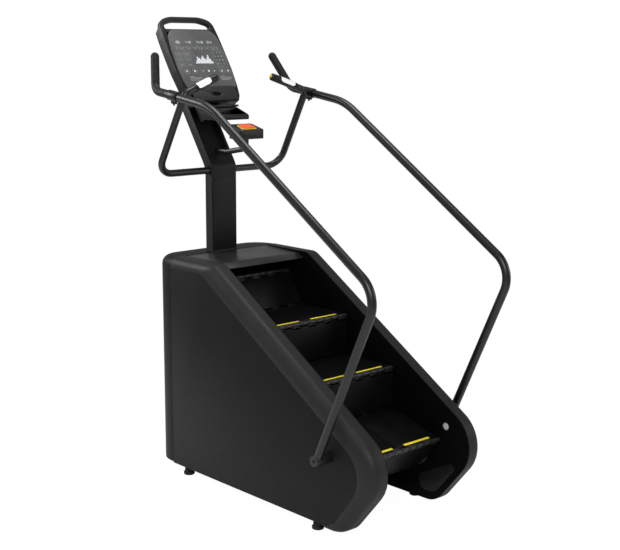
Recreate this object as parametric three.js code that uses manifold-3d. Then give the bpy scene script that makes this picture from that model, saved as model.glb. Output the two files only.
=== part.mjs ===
// Revolving-stairs climber: a belt of hinged steps between two side frames, with a
// mast, a display console, side rails and hand grips.
// Millimetres, +Z up. +X is the user's right, +Y points from the user to the console.
import * as THREE from 'three';
import { mergeVertices } from 'three/addons/utils/BufferGeometryUtils.js';
import Module from 'manifold-3d';

const wasm = await Module();
wasm.setup();

// ---- driving dimensions ----------------------------------------------------
// Lengths along Y are measured from the rear seam of the side panels; MID_Y then
// moves the whole machine so that its box is centred on the origin.
const MID_Y = -538;
const GAP = 0.4;

const PANEL_X = 350;
const WALL_X = 256;
const TRIM_X = 260;
const TRIM_TOP = 1076;
const TRIM_END_Y = -1089;
const RAIL_BOTTOM = 26;
const FRAME_X = [296, 342];
const FOOT_X = 311;
const FOOT_Y = [-78, -1012];

const RUN = 309.9;
const RISE = 197.1;
const STEP_COUNT = 7;
const LOWER_R = 55;
const UPPER_R = 110;
const LOWER_SHAFT = new THREE.Vector2(-1075.1, 240.7);
const FIRST_HINGE = -230;
const TREAD_X = 246;
const CHAIN_X = [248.6, 254.6];
const SHAFT_R = 14;
const BRAKE_AT = new THREE.Vector2(-330, 150);
const KNUCKLE_R = 10;
const NOSE_SLOTS = 6;
const HEEL_SLOTS = 4;

const MAST_X = 77;
const MAST_Y = [17.3, 68.3];
const MAST_LEAN = THREE.MathUtils.degToRad(33.5);
const RAIL_X = 415;
const RAIL_R = 19;
const GRIP_R = 17;
const HEAD_TILT = THREE.MathUtils.degToRad(57.07);
const HEAD_AT = new THREE.Vector3(0, 95, 1872);

// ---- finishes --------------------------------------------------------------
const finish = (color, roughness, metalness = 0) => ({ color, roughness, metalness });
const COVER = finish(0x262628, 0.62);
const TRIM = finish(0x2f2c2b, 0.5);
const WALL = finish(0x111112, 0.6);
const DECK = finish(0x3a3a3c, 0.35);
const TUBE = finish(0x1d1d1f, 0.4, 0.3);
const STEEL = finish(0x8f9195, 0.4, 0.9);
const FRAME = finish(0x2a2b2d, 0.5, 0.4);
const STEP = finish(0x17181a, 0.7);
const RISER = finish(0x222326, 0.55);
const RUBBER = finish(0x141415, 0.85);
const PLASTIC = finish(0x1b1c1e, 0.5);
const SILVER = finish(0xc9cbce, 0.25, 0.9);
const YELLOW = finish(0xf2e01a, 0.5);
const RED = finish(0xe8431b, 0.4);
const LENS = finish(0xe6ebee, 0.15);

// ---- small tools -----------------------------------------------------------
const v2 = (a, b) => new THREE.Vector2(a, b);
const v3 = (x, y, z) => new THREE.Vector3(x, y, z);
const shapeOf = (points) => new THREE.Shape(points.map((p) => (Array.isArray(p) ? v2(...p) : p)));

const machine = new THREE.Group();
machine.position.y = -MID_Y;

function add(name, geometry, look, parent = machine) {
  const mesh = new THREE.Mesh(geometry, new THREE.MeshStandardMaterial(look));
  mesh.name = name;
  parent.add(mesh);
  return mesh;
}

function solid(geometry) {
  const bare = geometry.clone();
  bare.deleteAttribute('normal');
  bare.deleteAttribute('uv');
  const merged = mergeVertices(bare, 1e-3);
  return new wasm.Manifold(new wasm.Mesh({
    numProp: 3,
    vertProperties: new Float32Array(merged.attributes.position.array),
    triVerts: new Uint32Array(merged.index.array),
  }));
}

function geometryOf(manifold) {
  const mesh = manifold.getMesh();
  const geometry = new THREE.BufferGeometry();
  const points = new Float32Array(mesh.vertProperties);
  geometry.setAttribute('position', new THREE.BufferAttribute(points, 3));
  geometry.setIndex(new THREE.BufferAttribute(new Uint32Array(mesh.triVerts), 1));
  return geometry;
}

const join = (...parts) => geometryOf(parts.map(solid).reduce((a, b) => a.add(b)));

function cut(body, ...tools) {
  return geometryOf(tools.map(solid).reduce((a, b) => a.subtract(b), solid(body)));
}

// Straight extrusions: the section lies in the plane across the named axis.
const YZ_TO_X = new THREE.Matrix4().makeBasis(v3(0, 1, 0), v3(0, 0, 1), v3(1, 0, 0));

function extruded(shape, depth, options = {}) {
  return new THREE.ExtrudeGeometry(shape, { depth, bevelEnabled: false, curveSegments: 8, ...options });
}

function alongX(points, x0, x1, holes = []) {
  const shape = shapeOf(points);
  shape.holes = holes.map((hole) => new THREE.Path(shapeOf(hole).getPoints()));
  return extruded(shape, x1 - x0).applyMatrix4(YZ_TO_X).translate(x0, 0, 0);
}

const alongZ = (points, z0, z1) => extruded(shapeOf(points), z1 - z0).translate(0, 0, z0);

function box(x0, x1, y0, y1, z0, z1) {
  const geometry = new THREE.BoxGeometry(x1 - x0, y1 - y0, z1 - z0);
  return geometry.translate((x0 + x1) / 2, (y0 + y1) / 2, (z0 + z1) / 2);
}

function circle(cy, cz, r, n = 16) {
  return Array.from({ length: n }, (_, i) => {
    const a = (2 * Math.PI * (i + 0.5)) / n;
    return [cy + r * Math.cos(a), cz + r * Math.sin(a)];
  });
}

function discX(x0, x1, y, z, r, n = 16) {
  return alongX(circle(y, z, r, n), x0, x1);
}

// Arc points that replace the corner at p between the straight runs from a and to b.
function arcAt(a, p, b, r, n) {
  const into = p.clone().sub(a).normalize();
  const out = b.clone().sub(p).normalize();
  const half = Math.acos(THREE.MathUtils.clamp(into.dot(out), -1, 1)) / 2;
  if (half < 1e-4 || r === 0) return [p.clone()];
  const bisector = out.clone().sub(into).normalize();
  const centre = p.clone().addScaledVector(bisector, r / Math.cos(half));
  const side = into.clone().add(out).normalize();
  return Array.from({ length: n + 1 }, (_, i) => {
    const t = -half + (2 * half * i) / n;
    const inward = centre.clone().addScaledVector(bisector, -r * Math.cos(t));
    return inward.addScaledVector(side, r * Math.sin(t));
  });
}

// An open run of straight stretches with rounded corners.
function rounded(points, radii, n = 6) {
  const last = points.length - 1;
  const steps = (i) => (Array.isArray(n) ? n[i] : n);
  return points.flatMap((p, i) => {
    if (i === 0 || i === last) return [p.clone()];
    return arcAt(points[i - 1], p, points[i + 1], radii[i - 1], steps(i - 1));
  });
}

// A closed outline with every corner rounded.
function roundedLoop(points, radii, n = 5) {
  const count = points.length;
  return points.flatMap((p, i) => {
    const r = Array.isArray(radii) ? radii[i] : radii;
    return arcAt(points[(i + count - 1) % count], p, points[(i + 1) % count], r, n);
  });
}

const rect = (y0, y1, z0, z1) => [v2(y0, z0), v2(y1, z0), v2(y1, z1), v2(y0, z1)];

// A path through given stations, so that a swept tube has a ring at each of them.
class Route extends THREE.Curve {
  constructor(points) {
    super();
    this.points = points;
  }

  getPoint(t, target = new THREE.Vector3()) {
    const last = this.points.length - 1;
    const k = Math.min(Math.floor(t * last), last - 1);
    return target.lerpVectors(this.points[k], this.points[k + 1], t * last - k);
  }

  getPointAt(u, target) {
    return this.getPoint(u, target);
  }

  getTangentAt(u, target = new THREE.Vector3()) {
    const h = 0.5 / (this.points.length - 1);
    const before = this.getPoint(Math.max(0, u - h));
    return target.subVectors(this.getPoint(Math.min(1, u + h)), before).normalize();
  }
}

function tube(points, radii, r, sides = 12, n = 5) {
  const stations = rounded(points, radii, n);
  const section = shapeOf(circle(0, 0, r, sides));
  return extruded(section, 1, { steps: stations.length - 1, extrudePath: new Route(stations) });
}

const mirrored = (points) => points.map((p) => v3(-p.x, p.y, p.z));

// A ring of section points swept through stations; both ends are closed by a fan.
function lofted(rings) {
  const count = rings[0].length;
  const positions = rings.flat().flatMap((p) => [p.x, p.y, p.z]);
  const index = [];
  for (let s = 0; s + 1 < rings.length; s += 1) {
    for (let k = 0; k < count; k += 1) {
      const a = s * count + k;
      const b = s * count + ((k + 1) % count);
      index.push(a, b, b + count, a, b + count, a + count);
    }
  }
  const flat = rings[0].map((p) => v2(p.x, p.z));
  const ends = THREE.ShapeUtils.triangulateShape(flat, []);
  const turn = ([i, j, k]) => THREE.ShapeUtils.area([flat[i], flat[j], flat[k]]);
  const same = turn(ends[0]) * THREE.ShapeUtils.area(flat) > 0;
  const shift = (rings.length - 1) * count;
  ends.map(([i, j, k]) => (same ? [i, j, k] : [i, k, j])).forEach(([i, j, k]) => {
    index.push(i, k, j, i + shift, j + shift, k + shift);
  });
  const geometry = new THREE.BufferGeometry();
  geometry.setAttribute('position', new THREE.Float32BufferAttribute(positions, 3));
  geometry.setIndex(index);
  return outward(geometry);
}

// Turns the faces of a closed mesh outward.
function outward(geometry) {
  const p = geometry.attributes.position;
  const index = geometry.index.array;
  const at = (i) => v3(p.getX(i), p.getY(i), p.getZ(i));
  let volume = 0;
  for (let i = 0; i < index.length; i += 3) {
    volume += at(index[i]).dot(at(index[i + 1]).cross(at(index[i + 2])));
  }
  if (volume < 0) {
    for (let i = 0; i < index.length; i += 3) [index[i], index[i + 1]] = [index[i + 1], index[i]];
  }
  return geometry;
}

const SIDES = [['left', -1], ['right', 1]];
const bothSides = (make) => SIDES.forEach(([side, s]) => make(side, s));
const spanX = (s, a, b) => (s > 0 ? [a, b] : [-b, -a]);

// ---- outlines of the base, seen from the side ------------------------------
const PANEL_CORNERS = [v2(-246, 1026.5), v2(-1353.8, 335.8), v2(-1136.8, 53)];
const PANEL_RADII = [60, 136, 88];
const INNER_CORNERS = [v2(-309, TRIM_TOP), v2(-1462, 356.4), v2(-1187, RAIL_BOTTOM)];
const INNER_RADII = [80, 165, 110];
const CORNER_STEPS = [4, 8, 5];

function outline(startZ, corners, radii, endY, endZ) {
  return rounded([v2(0, startZ), ...corners, v2(endY, endZ)], radii, CORNER_STEPS);
}

function insetLoop(points, d) {
  const count = points.length;
  return points.map((p, i) => {
    const a = p.clone().sub(points[(i + count - 1) % count]).normalize();
    const b = points[(i + 1) % count].clone().sub(p).normalize();
    const inward = v2(-(a.y + b.y), a.x + b.x).normalize();
    const half = Math.acos(THREE.MathUtils.clamp(a.dot(b), -1, 1)) / 2;
    return p.clone().addScaledVector(inward, d / Math.cos(half));
  });
}

function makeSides() {
  const panel = outline(1026.5, PANEL_CORNERS, PANEL_RADII, 0, 53);
  const wall = outline(TRIM_TOP - 0.5, INNER_CORNERS, INNER_RADII, 0, RAIL_BOTTOM);
  const middle = loopTube();
  const wallHoles = [...shafts().map((c) => circle(c.x, c.y, 18, 12)), circle(middle.x, middle.y, 28, 14)];
  wallHoles.push(circle(BRAKE_AT.x, BRAKE_AT.y, 12, 12));
  bothSides((side, s) => {
    add(`side_panel_${side}`, alongX(insetLoop(panel, 1.2), ...spanX(s, PANEL_X - 3, PANEL_X)), COVER);
    const sheet = alongX(insetLoop(wall, 0.6), ...spanX(s, WALL_X, WALL_X + 3), wallHoles);
    const notches = [box(-400, 400, -642, -588, 0, 64), box(-400, 400, -58, 100, 0, 64)];
    add(`inner_wall_${side}`, cut(sheet, ...notches), WALL);
    add(`trim_${side}`, trimGeometry(s), TRIM);
  });
}

// The trim turns from the side panel's edge over to the inner wall's edge.
// Each pair is a place across the machine and a share of the way out to the inner outline.
const TRIM_OUTER = [[350, 0], [351, 0.35], [348, 0.62], [339, 0.83], [325, 0.95], [307, 1], [TRIM_X, 1]];
const TRIM_BACK = [[TRIM_X, 0.93], [305, 0.93], [320, 0.88], [332, 0.77]];
const TRIM_INNER = [...TRIM_BACK, [341, 0.58], [345, 0.34], [345, 0]];

function trimGeometry(s) {
  const low = outline(1026.5, PANEL_CORNERS, PANEL_RADII, TRIM_END_Y, 53);
  const high = outline(TRIM_TOP, INNER_CORNERS, INNER_RADII, TRIM_END_Y, RAIL_BOTTOM);
  const rings = low.map((p, i) => [...TRIM_OUTER, ...TRIM_INNER].map(([x, f]) => {
    const q = p.clone().lerp(high[i], f);
    return v3(s * x, q.x, q.y);
  }));
  return lofted(rings);
}

// ---- frame, covers and feet ------------------------------------------------
const SLOPE = v2(-RUN, -RISE).normalize();
const OUT = v2(SLOPE.y, -SLOPE.x);
const PITCH = Math.hypot(RUN, RISE);
const CHAIN = chainSize();

// Free length between the sprockets, and how much more than half the upper one is wrapped.
function chainSize() {
  const belt = STEP_COUNT * PITCH;
  const more = UPPER_R - LOWER_R;
  let straight = belt / 2;
  let lean = 0;
  for (let i = 0; i < 30; i += 1) {
    lean = Math.asin(more / Math.hypot(straight, more));
    straight = (belt - UPPER_R * (Math.PI + 2 * lean) - LOWER_R * (Math.PI - 2 * lean)) / 2;
  }
  return { belt, straight, lean };
}

function shafts() {
  const back = LOWER_SHAFT.clone().addScaledVector(SLOPE, -CHAIN.straight);
  return [LOWER_SHAFT, back.addScaledVector(OUT, LOWER_R - UPPER_R)];
}

function loopTube() {
  const [lower, upper] = shafts();
  return lower.clone().lerp(upper, 0.5);
}

function makeFrame() {
  const upper = [v2(-14, 26), v2(-14, 1000), v2(-252, 1000), v2(-1318, 334)];
  const lower = [v2(-1128, 62), v2(-1090, 62), v2(-1066, 26)];
  const outer = roundedLoop([...upper, ...lower], [4, 4, 20, 90, 20, 4, 4], 4);
  const holes = [
    [[-58, 68], [-58, 958], [-150, 958], [-150, 68]],
    [[-212, 68], [-212, 958], [-241, 958], [-585, 743], [-585, 68]],
    [[-672, 68], [-672, 688], [-1046, 454], [-1046, 68]],
    [[-1104, 108], [-1104, 418], [-1258, 328], [-1118, 108]],
  ];
  bothSides((side, s) => {
    const [x0, x1] = spanX(s, ...FRAME_X);
    const windows = holes.map((hole) => alongX(hole.map((p) => v2(...p)), x0 - 5, x1 + 5));
    const bores = shafts().map((c) => discX(x0 - 5, x1 + 5, c.x, c.y, SHAFT_R + 0.6, 16));
    add(`frame_side_${side}`, cut(alongX(outer, x0, x1), ...windows, ...bores), FRAME);
  });
  const inside = FRAME_X[0] - GAP;
  const middle = loopTube();
  add('loop_tube', discX(-inside, inside, middle.x, middle.y, 25, 14), FRAME);
  const rearBeam = box(-inside, inside, -56, 92, 26, 62);
  const middleBeam = box(-inside, inside, -640, -590, 26, 62);
  const tray = box(-200, 200, -600, -50, 50, 56);
  const post = join(box(-60, 60, 36, 84, 60, 1043), box(-95, 95, 20, 112, 1042.5, 1052));
  add('base_frame', join(rearBeam, middleBeam, tray, post), FRAME);
}

function makeFeet() {
  const pad = [[0, 0], [22, 0], [27, 4], [27, 12], [9, 17]];
  const profile = [...pad, [9, 26 - GAP], [0, 26 - GAP]].map((p) => v2(...p));
  bothSides((side, s) => {
    FOOT_Y.forEach((y, i) => {
      const foot = new THREE.LatheGeometry(profile, 12).rotateX(Math.PI / 2);
      add(`foot_${i ? 'front' : 'rear'}_${side}`, foot.translate(s * FOOT_X, y, 0), RUBBER);
    });
  });
}

function rearBlock(grow, topZ) {
  const w = PANEL_X + grow;
  const corner = 150 + grow;
  const plan = roundedLoop(rect(-w, w, -150, 165 + grow), [0, 0, corner, corner], 7);
  const edge = 40;
  const bevel = { bevelThickness: edge, bevelSize: edge, bevelOffset: -edge, bevelSegments: 4 };
  const options = { bevelEnabled: true, ...bevel };
  return extruded(shapeOf(plan), topZ - 2 * edge, options).translate(0, 0, edge);
}

function makeCovers() {
  const shell = cut(
    rearBlock(0, 1074),
    rearBlock(-3, 1071),
    box(-400, 400, -200, 1, -50, 1200),
    box(-400, 400, -200, 300, -50, 53),
    box(-MAST_X - 1.5, MAST_X + 1.5, -10, MAST_Y[1] + 1.5, 1040, 1100),
    box(-151, -89, 100, 200, 91, 131),
  );
  add('rear_cover', shell, COVER);
  const inlet = join(box(-150.5, -89.5, 140, 166, 91.5, 130.5), box(-158, -82, 165.4, 169, 84, 138));
  add('power_inlet', cut(inlet, box(-142, -98, 150, 180, 99, 123)), PLASTIC);
  const deck = [[-1, 1073], [-240, 1066], [-286, 1044], [-284, 1040], [-239, 1061.5], [-1, 1068.5]];
  add('deck_cover', alongX(deck.map((p) => v2(...p)).reverse(), -255.5, 255.5), DECK);
  bothSides((side, s) => {
    add(`step_sensor_${side}`, discX(...spanX(s, WALL_X - 4, WALL_X - GAP), -1243, 399, 17, 20), LENS);
  });
}

// ---- the belt of steps -----------------------------------------------------
// Place along the chain, measured from where it meets the lower sprocket.
function chainPoint(u) {
  const [lower, upper] = shafts();
  const lowerAngle = Math.PI - 2 * CHAIN.lean;
  const upperAngle = Math.PI + 2 * CHAIN.lean;
  let t = ((u % CHAIN.belt) + CHAIN.belt) % CHAIN.belt;
  if (t < LOWER_R * lowerAngle) return onRim(lower, LOWER_R, t / LOWER_R);
  t -= LOWER_R * lowerAngle;
  if (t < CHAIN.straight) {
    const from = onRim(lower, LOWER_R, lowerAngle);
    return from.lerp(onRim(upper, UPPER_R, lowerAngle), t / CHAIN.straight);
  }
  t -= CHAIN.straight;
  if (t < UPPER_R * upperAngle) return onRim(upper, UPPER_R, lowerAngle + t / UPPER_R);
  return onRim(upper, UPPER_R, 0).addScaledVector(SLOPE, t - UPPER_R * upperAngle);
}

function onRim(centre, r, a) {
  const p = centre.clone().addScaledVector(OUT, r * Math.cos(a));
  return p.addScaledVector(SLOPE, r * Math.sin(a));
}

// The nose hinge joins a tread's front to the top of the riser below it.
function noseOf(rear, foot) {
  const across = foot.clone().sub(rear);
  const c = across.length();
  across.normalize();
  const t = (RUN * RUN + c * c - RISE * RISE) / (2 * c);
  const h = Math.sqrt(RUN * RUN - t * t);
  return rear.clone().addScaledVector(across, t).addScaledVector(v2(across.y, -across.x), h);
}

function stepPoints(i) {
  const u = FIRST_HINGE + (i - 3) * PITCH;
  const rear = chainPoint(u);
  const foot = chainPoint(u + PITCH);
  return { rear, foot, nose: noseOf(rear, foot) };
}

// Knuckle slots along a hinge: even slots belong to the tread, odd ones to the riser.
function slots(count, odd) {
  const w = (2 * TREAD_X) / count;
  return Array.from({ length: count }, (_, k) => [-TREAD_X + k * w, -TREAD_X + (k + 1) * w])
    .filter((_, k) => k % 2 === odd)
    .map(([a, b]) => [a + 0.8, b - 0.8]);
}

// A plate in its own frame: the heel hinge is at the origin and the nose at -Y. The
// plate lies to one side of both hinge axes, so that two plates can fold together.
function hingedPlate(length, [low, high], fore, aft) {
  const plate = alongX(rect(-length + 13, -14, low, high), -TREAD_X, TREAD_X);
  const lug = (y0, y1, [a, b]) => alongX(rect(y0, y1, low, high), a, b);
  const knuckle = (y, [a, b]) => discX(a, b, y, 0, KNUCKLE_R, 8);
  const front = fore.flatMap((slot) => [knuckle(-length, slot), lug(-length, -length + 22, slot)]);
  const back = aft.flatMap((slot) => [knuckle(0, slot), lug(-20, 0, slot)]);
  return join(plate, ...front, ...back);
}

function treadGeometry() {
  return hingedPlate(RUN, [0.5, 9], slots(NOSE_SLOTS, 0), slots(HEEL_SLOTS, 1));
}

function riserGeometry() {
  return hingedPlate(RISE, [-7, -0.5], slots(NOSE_SLOTS, 1), slots(HEEL_SLOTS, 0));
}

function placed(mesh, from, to) {
  mesh.position.set(0, from.x, from.y);
  mesh.rotation.x = Math.atan2(-(to.y - from.y), -(to.x - from.x));
}

function makeSteps() {
  const tread = treadGeometry();
  const riser = riserGeometry();
  for (let i = 0; i < STEP_COUNT; i += 1) {
    const { rear, foot, nose } = stepPoints(i);
    placed(add(`tread_${i}`, tread, STEP), rear, nose);
    placed(add(`riser_${i}`, riser, RISER), foot, nose);
  }
}

function makeDrive() {
  const [lower, upper] = shafts();
  const lowerAngle = Math.PI - 2 * CHAIN.lean;
  const arc = (c, r, from, to) => Array.from({ length: 13 }, (_, i) => {
    return onRim(c, r, from + ((to - from) * i) / 12);
  });
  const ring = (grow) => [
    ...arc(lower, LOWER_R + grow, 0, lowerAngle),
    ...arc(upper, UPPER_R + grow, lowerAngle, 2 * Math.PI),
  ];
  const outerRing = ring(5);
  const innerRing = ring(-5);
  bothSides((side, s) => {
    add(`chain_${side}`, alongX([...outerRing].reverse(), ...spanX(s, ...CHAIN_X), [innerRing]), STEEL);
  });
  const rim = [CHAIN_X[0] + 1, CHAIN_X[1] - 1];
  const wheel = (c, s, r) => discX(...spanX(s, ...rim), c.x, c.y, (r - 5.4) * 0.985, 24);
  const axle = (c) => discX(-FRAME_X[1] - 4, FRAME_X[1] + 4, c.x, c.y, SHAFT_R, 16);
  add('shaft_lower', join(axle(lower), wheel(lower, -1, LOWER_R), wheel(lower, 1, LOWER_R)), STEEL);
  const drive = discX(264, 284, upper.x, upper.y, 95, 28);
  add('shaft_upper', join(axle(upper), wheel(upper, -1, UPPER_R), wheel(upper, 1, UPPER_R), drive), STEEL);
  makeBrake(upper);
}

// The upper shaft's pulley turns the brake generator through a belt.
function makeBrake(upper) {
  const at = BRAKE_AT;
  const belt = beltLoop(upper, 97.6, at, 26.6);
  add('drive_belt', alongX(belt.outer, 267, 281, [belt.inner]), RUBBER);
  const stub = discX(150, 268, at.x, at.y, 8, 10);
  add('brake_pulley', join(stub, discX(268, 280, at.x, at.y, 24, 18)), STEEL);
  const profile = [v2(0, -70), v2(60, -70), v2(78, -55), v2(78, 62), v2(60, 78), v2(0, 78)];
  const body = new THREE.LatheGeometry(profile, 20).rotateX(Math.PI / 2).rotateY(Math.PI / 2);
  const foot = box(-60, 82, -60, 60, -87.5, -60);
  const housing = join(body, foot).translate(66, at.x, at.y);
  add('brake_generator', cut(housing, discX(140, 170, at.x, at.y, 14, 12)), FRAME);
}

function beltLoop(a, ra, b, rb) {
  const along = b.clone().sub(a);
  const d = along.length();
  const base = Math.atan2(along.y, along.x);
  const loop = (grow) => {
    const lead = Math.acos((ra - rb) / d);
    const arc = (c, r, from, to, n) => Array.from({ length: n + 1 }, (_, i) => {
      const t = base + from + ((to - from) * i) / n;
      return v2(c.x + (r + grow) * Math.cos(t), c.y + (r + grow) * Math.sin(t));
    });
    return [...arc(a, ra, lead, 2 * Math.PI - lead, 14), ...arc(b, rb, -lead, lead, 8)];
  };
  return { outer: loop(1.8), inner: loop(-1.8) };
}

// ---- mast and U-frame ------------------------------------------------------
const LEAN = v2(Math.sin(MAST_LEAN), Math.cos(MAST_LEAN));
const BEND_FRONT = v2(MAST_Y[0], 1498);
const BEND_REAR = v2(MAST_Y[1], 1483);
const U_CORNER = v3(381, 40.8, 1474);

function makeMast() {
  const top = 360;
  const front = BEND_FRONT.clone().addScaledVector(LEAN, top);
  const rear = BEND_REAR.clone().addScaledVector(LEAN, top - 15);
  const side = rounded([v2(MAST_Y[0], 1062.5), BEND_FRONT, front], [60], 5)
    .concat(rounded([rear, BEND_REAR, v2(MAST_Y[1], 1062.5)], [100], 5));
  const across = v2(LEAN.y, -LEAN.x);
  const corner = (t, depth) => BEND_FRONT.clone().addScaledVector(LEAN, t).addScaledVector(across, depth);
  const recess = [corner(70, -10), corner(70, 24), corner(340, 24), corner(340, -10)];
  const body = join(alongX([...side].reverse(), -MAST_X, MAST_X), box(-95, 95, 16, 112, 1052.5, 1063));
  const passage = discX(-90, 90, U_CORNER.y, U_CORNER.z, GRIP_R + GAP + 0.2, 16);
  add('mast', cut(body, alongX(recess, -62, 62), passage), COVER);
  const cover = roundedLoop([v2(-72, 1078), v2(72, 1078), v2(72, 1440), v2(-72, 1440)], [4, 4, 40, 40], 5);
  const plate = extruded(shapeOf(cover), 2.6).rotateX(Math.PI / 2).translate(0, MAST_Y[0] - GAP, 0);
  add('mast_front_cover', plate, COVER);
}

// One bent tube: across through the mast, up both sides, inward at the top as two grips.
const GRIP_BEND = v3(372, -170, 1858);
const GRIP_END = v3(192, -149, 1921);

function makeUFrame() {
  const right = [U_CORNER, GRIP_BEND];
  const path = [...mirrored([...right, GRIP_END].reverse()), ...right, GRIP_END];
  const socket = [[9.5, 27], [9.5, 20], [0, 20]];
  const profile = [[0, -2], [18.5, -2], [18.5, 20], [12, 27], ...socket].map((p) => v2(...p));
  const cap = (s) => gripFrame(s, new THREE.LatheGeometry(profile, 14).rotateX(Math.PI / 2));
  add('u_frame', join(tube(path, [34, 80, 80, 34], GRIP_R, 12, 5), cap(-1), cap(1)), TUBE);
  bothSides((side, s) => {
    add(`pulse_plate_${side}`, pulsePlate(s), SILVER);
    const thumb = new THREE.CylinderGeometry(8.8, 8.8, 7, 14).rotateX(Math.PI / 2).translate(0, 0, 27);
    add(`speed_button_${side}`, gripFrame(s, thumb), YELLOW);
  });
}

// Puts a shape made about the origin onto a grip's end, its +Z pointing out of the tube.
function gripFrame(s, geometry) {
  const end = v3(s * GRIP_END.x, GRIP_END.y, GRIP_END.z);
  const out = end.clone().sub(v3(s * GRIP_BEND.x, GRIP_BEND.y, GRIP_BEND.z)).normalize();
  const up = v3(0, -0.35, 1).projectOnPlane(out).normalize();
  const basis = new THREE.Matrix4().makeBasis(up.clone().cross(out), up, out);
  return geometry.applyMatrix4(basis).translate(end.x, end.y, end.z);
}

// A silver contact plate saddles the top of the grip.
function pulsePlate(s) {
  const arcPoints = (r, n) => Array.from({ length: n + 1 }, (_, i) => {
    const a = THREE.MathUtils.degToRad(-62 + (124 * i) / n);
    return v2(-r * Math.sin(a), r * Math.cos(a));
  });
  const section = [...arcPoints(GRIP_R + 2.2, 8), ...arcPoints(GRIP_R + GAP, 8).reverse()];
  return gripFrame(s, alongZ(section, -112, -26));
}

// ---- side rails ------------------------------------------------------------
const RAIL_B = v3(RAIL_X, -408, 1809.5);
const RAIL_C = v3(RAIL_X + 1, -1462.6, 1121.1);
const RAIL_FOOT = v3(RAIL_X + 1, -1116, 361);
const HORN_BEND = v3(RAIL_X + 3, -8, 1868);
const HORN_TOP = v3(362, 72, 2025);

function makeRails() {
  const sleeveRear = v3(RAIL_X + 2, -100, 1855.5);
  bothSides((side, s) => {
    const flip = (p) => v3(s * p.x, p.y, p.z);
    const rail = tube([sleeveRear, RAIL_B, RAIL_C, RAIL_FOOT].map(flip), [110, 120], RAIL_R, 12, 6);
    const boss = discX(...spanX(s, PANEL_X + GAP, RAIL_X + 22), RAIL_FOOT.y, RAIL_FOOT.z, 22, 16);
    add(`side_rail_${side}`, join(rail, boss), TUBE);
    const start = v3(RAIL_X + 2, -99.4, 1855.5);
    const horn = tube([start, HORN_BEND, HORN_TOP].map(flip), [62], RAIL_R + 1, 12, 5);
    const tip = new THREE.SphereGeometry(RAIL_R + 1, 12, 6).translate(...flip(HORN_TOP).toArray());
    add(`horn_grip_${side}`, join(horn, tip), RUBBER);
    add(`rail_clamp_${side}`, clamp(s), PLASTIC);
  });
}

// A split clamp with its bolt holds the side rail to the U-frame's upright.
function clamp(s) {
  const along = v3(0, 108, 15).normalize();
  const mid = v3(s * (RAIL_X + 1), -148, 1848.7);
  const place = (geometry) => geometry.rotateX(Math.asin(along.z)).translate(mid.x, mid.y, mid.z);
  const ring = new THREE.CylinderGeometry(24, 24, 72, 16);
  const bore = new THREE.CylinderGeometry(RAIL_R + 1.8, RAIL_R + 1.8, 90, 16);
  const lug = new THREE.BoxGeometry(16, 30, 20).translate(0, -4, -25);
  const bolt = new THREE.CylinderGeometry(5, 5, 10, 6).rotateX(Math.PI / 2).translate(0, -4, -38);
  return cut(join(place(ring), place(lug), place(bolt)), place(bore));
}

// ---- console ---------------------------------------------------------------
// A rounded outline that is the same on both sides of x = 0, from its right half.
function mirroredLoop(half, radii) {
  const right = half.map((p) => v2(...p));
  const left = half.map(([x, y]) => v2(-x, y)).reverse();
  return roundedLoop([...right, ...left], [...radii, ...[...radii].reverse()], 3);
}

function makeConsole() {
  const head = new THREE.Group();
  head.position.copy(HEAD_AT);
  head.rotation.x = HEAD_TILT;
  machine.add(head);
  const lowHalf = [[138, -72], [156, -40], [166, 20], [173, 110]];
  const half = [...lowHalf, [173, 215], [168, 300], [163, 372], [118, 422]];
  const edge = mirroredLoop(half, [14, 40, 80, 120, 120, 120, 40, 30]);
  const hole = roundedLoop([v2(134, 354), v2(112, 392), v2(-112, 392), v2(-134, 354)], [9, 20, 20, 9], 4);
  const shape = shapeOf(edge);
  shape.holes = [new THREE.Path(hole)];
  const bevel = { bevelEnabled: true, bevelThickness: 9, bevelSize: 9, bevelOffset: -9, bevelSegments: 2 };
  const shell = extruded(shape, 34, bevel).translate(0, 0, -53);
  const hollow = box(-142, 142, -52, 326, -45, 0);
  add('console_shell', cut(shell, hollow), COVER, head);
  const face = [[150, 4], [160, 40], [165, 110], [163, 215], [151, 300], [120, 336]];
  const facing = mirroredLoop(face, [10, 60, 120, 120, 60, 24]);
  const facePlate = extruded(shapeOf(facing), 8).translate(0, 0, -9.6);
  const chin = [v2(12, -1.6), v2(12, -9.6), v2(-66, -9.6), v2(-66, -5)];
  const wedge = alongX(chin.map((p) => v2(p.x, p.y)), -136, 136);
  const port = new THREE.CylinderGeometry(1, 1, 5, 20).rotateX(Math.PI / 2).scale(24, 10, 1);
  port.translate(0, -32, -3.2);
  add('console_face', cut(join(facePlate, wedge), port), COVER, head);
  const bracket = join(box(-58, 58, -128, 0, -114, -62.6), box(-40, 40, -120, -10, -138, -113));
  add('console_bracket', bracket, COVER, head);
  makeTray();
  makeStop();
}

// The tray for small things stands out below the console on the mast's channel.
function makeTray() {
  const under = [v2(-68, 1722), v2(70, 1722), v2(99.5, 1767)];
  const over = [v2(70, 1788), v2(20, 1776), v2(-60, 1748), v2(-68, 1740)];
  const body = alongX(roundedLoop([...under, ...over], [4, 2, 4, 10, 10, 6, 4], 2), -92, 92);
  const bowl = box(-82, 82, -58, 16, 1734, 1800);
  add('accessory_tray', cut(join(body, box(-128, 128, 24, 64, 1780, 1790)), bowl), PLASTIC);
}

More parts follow.
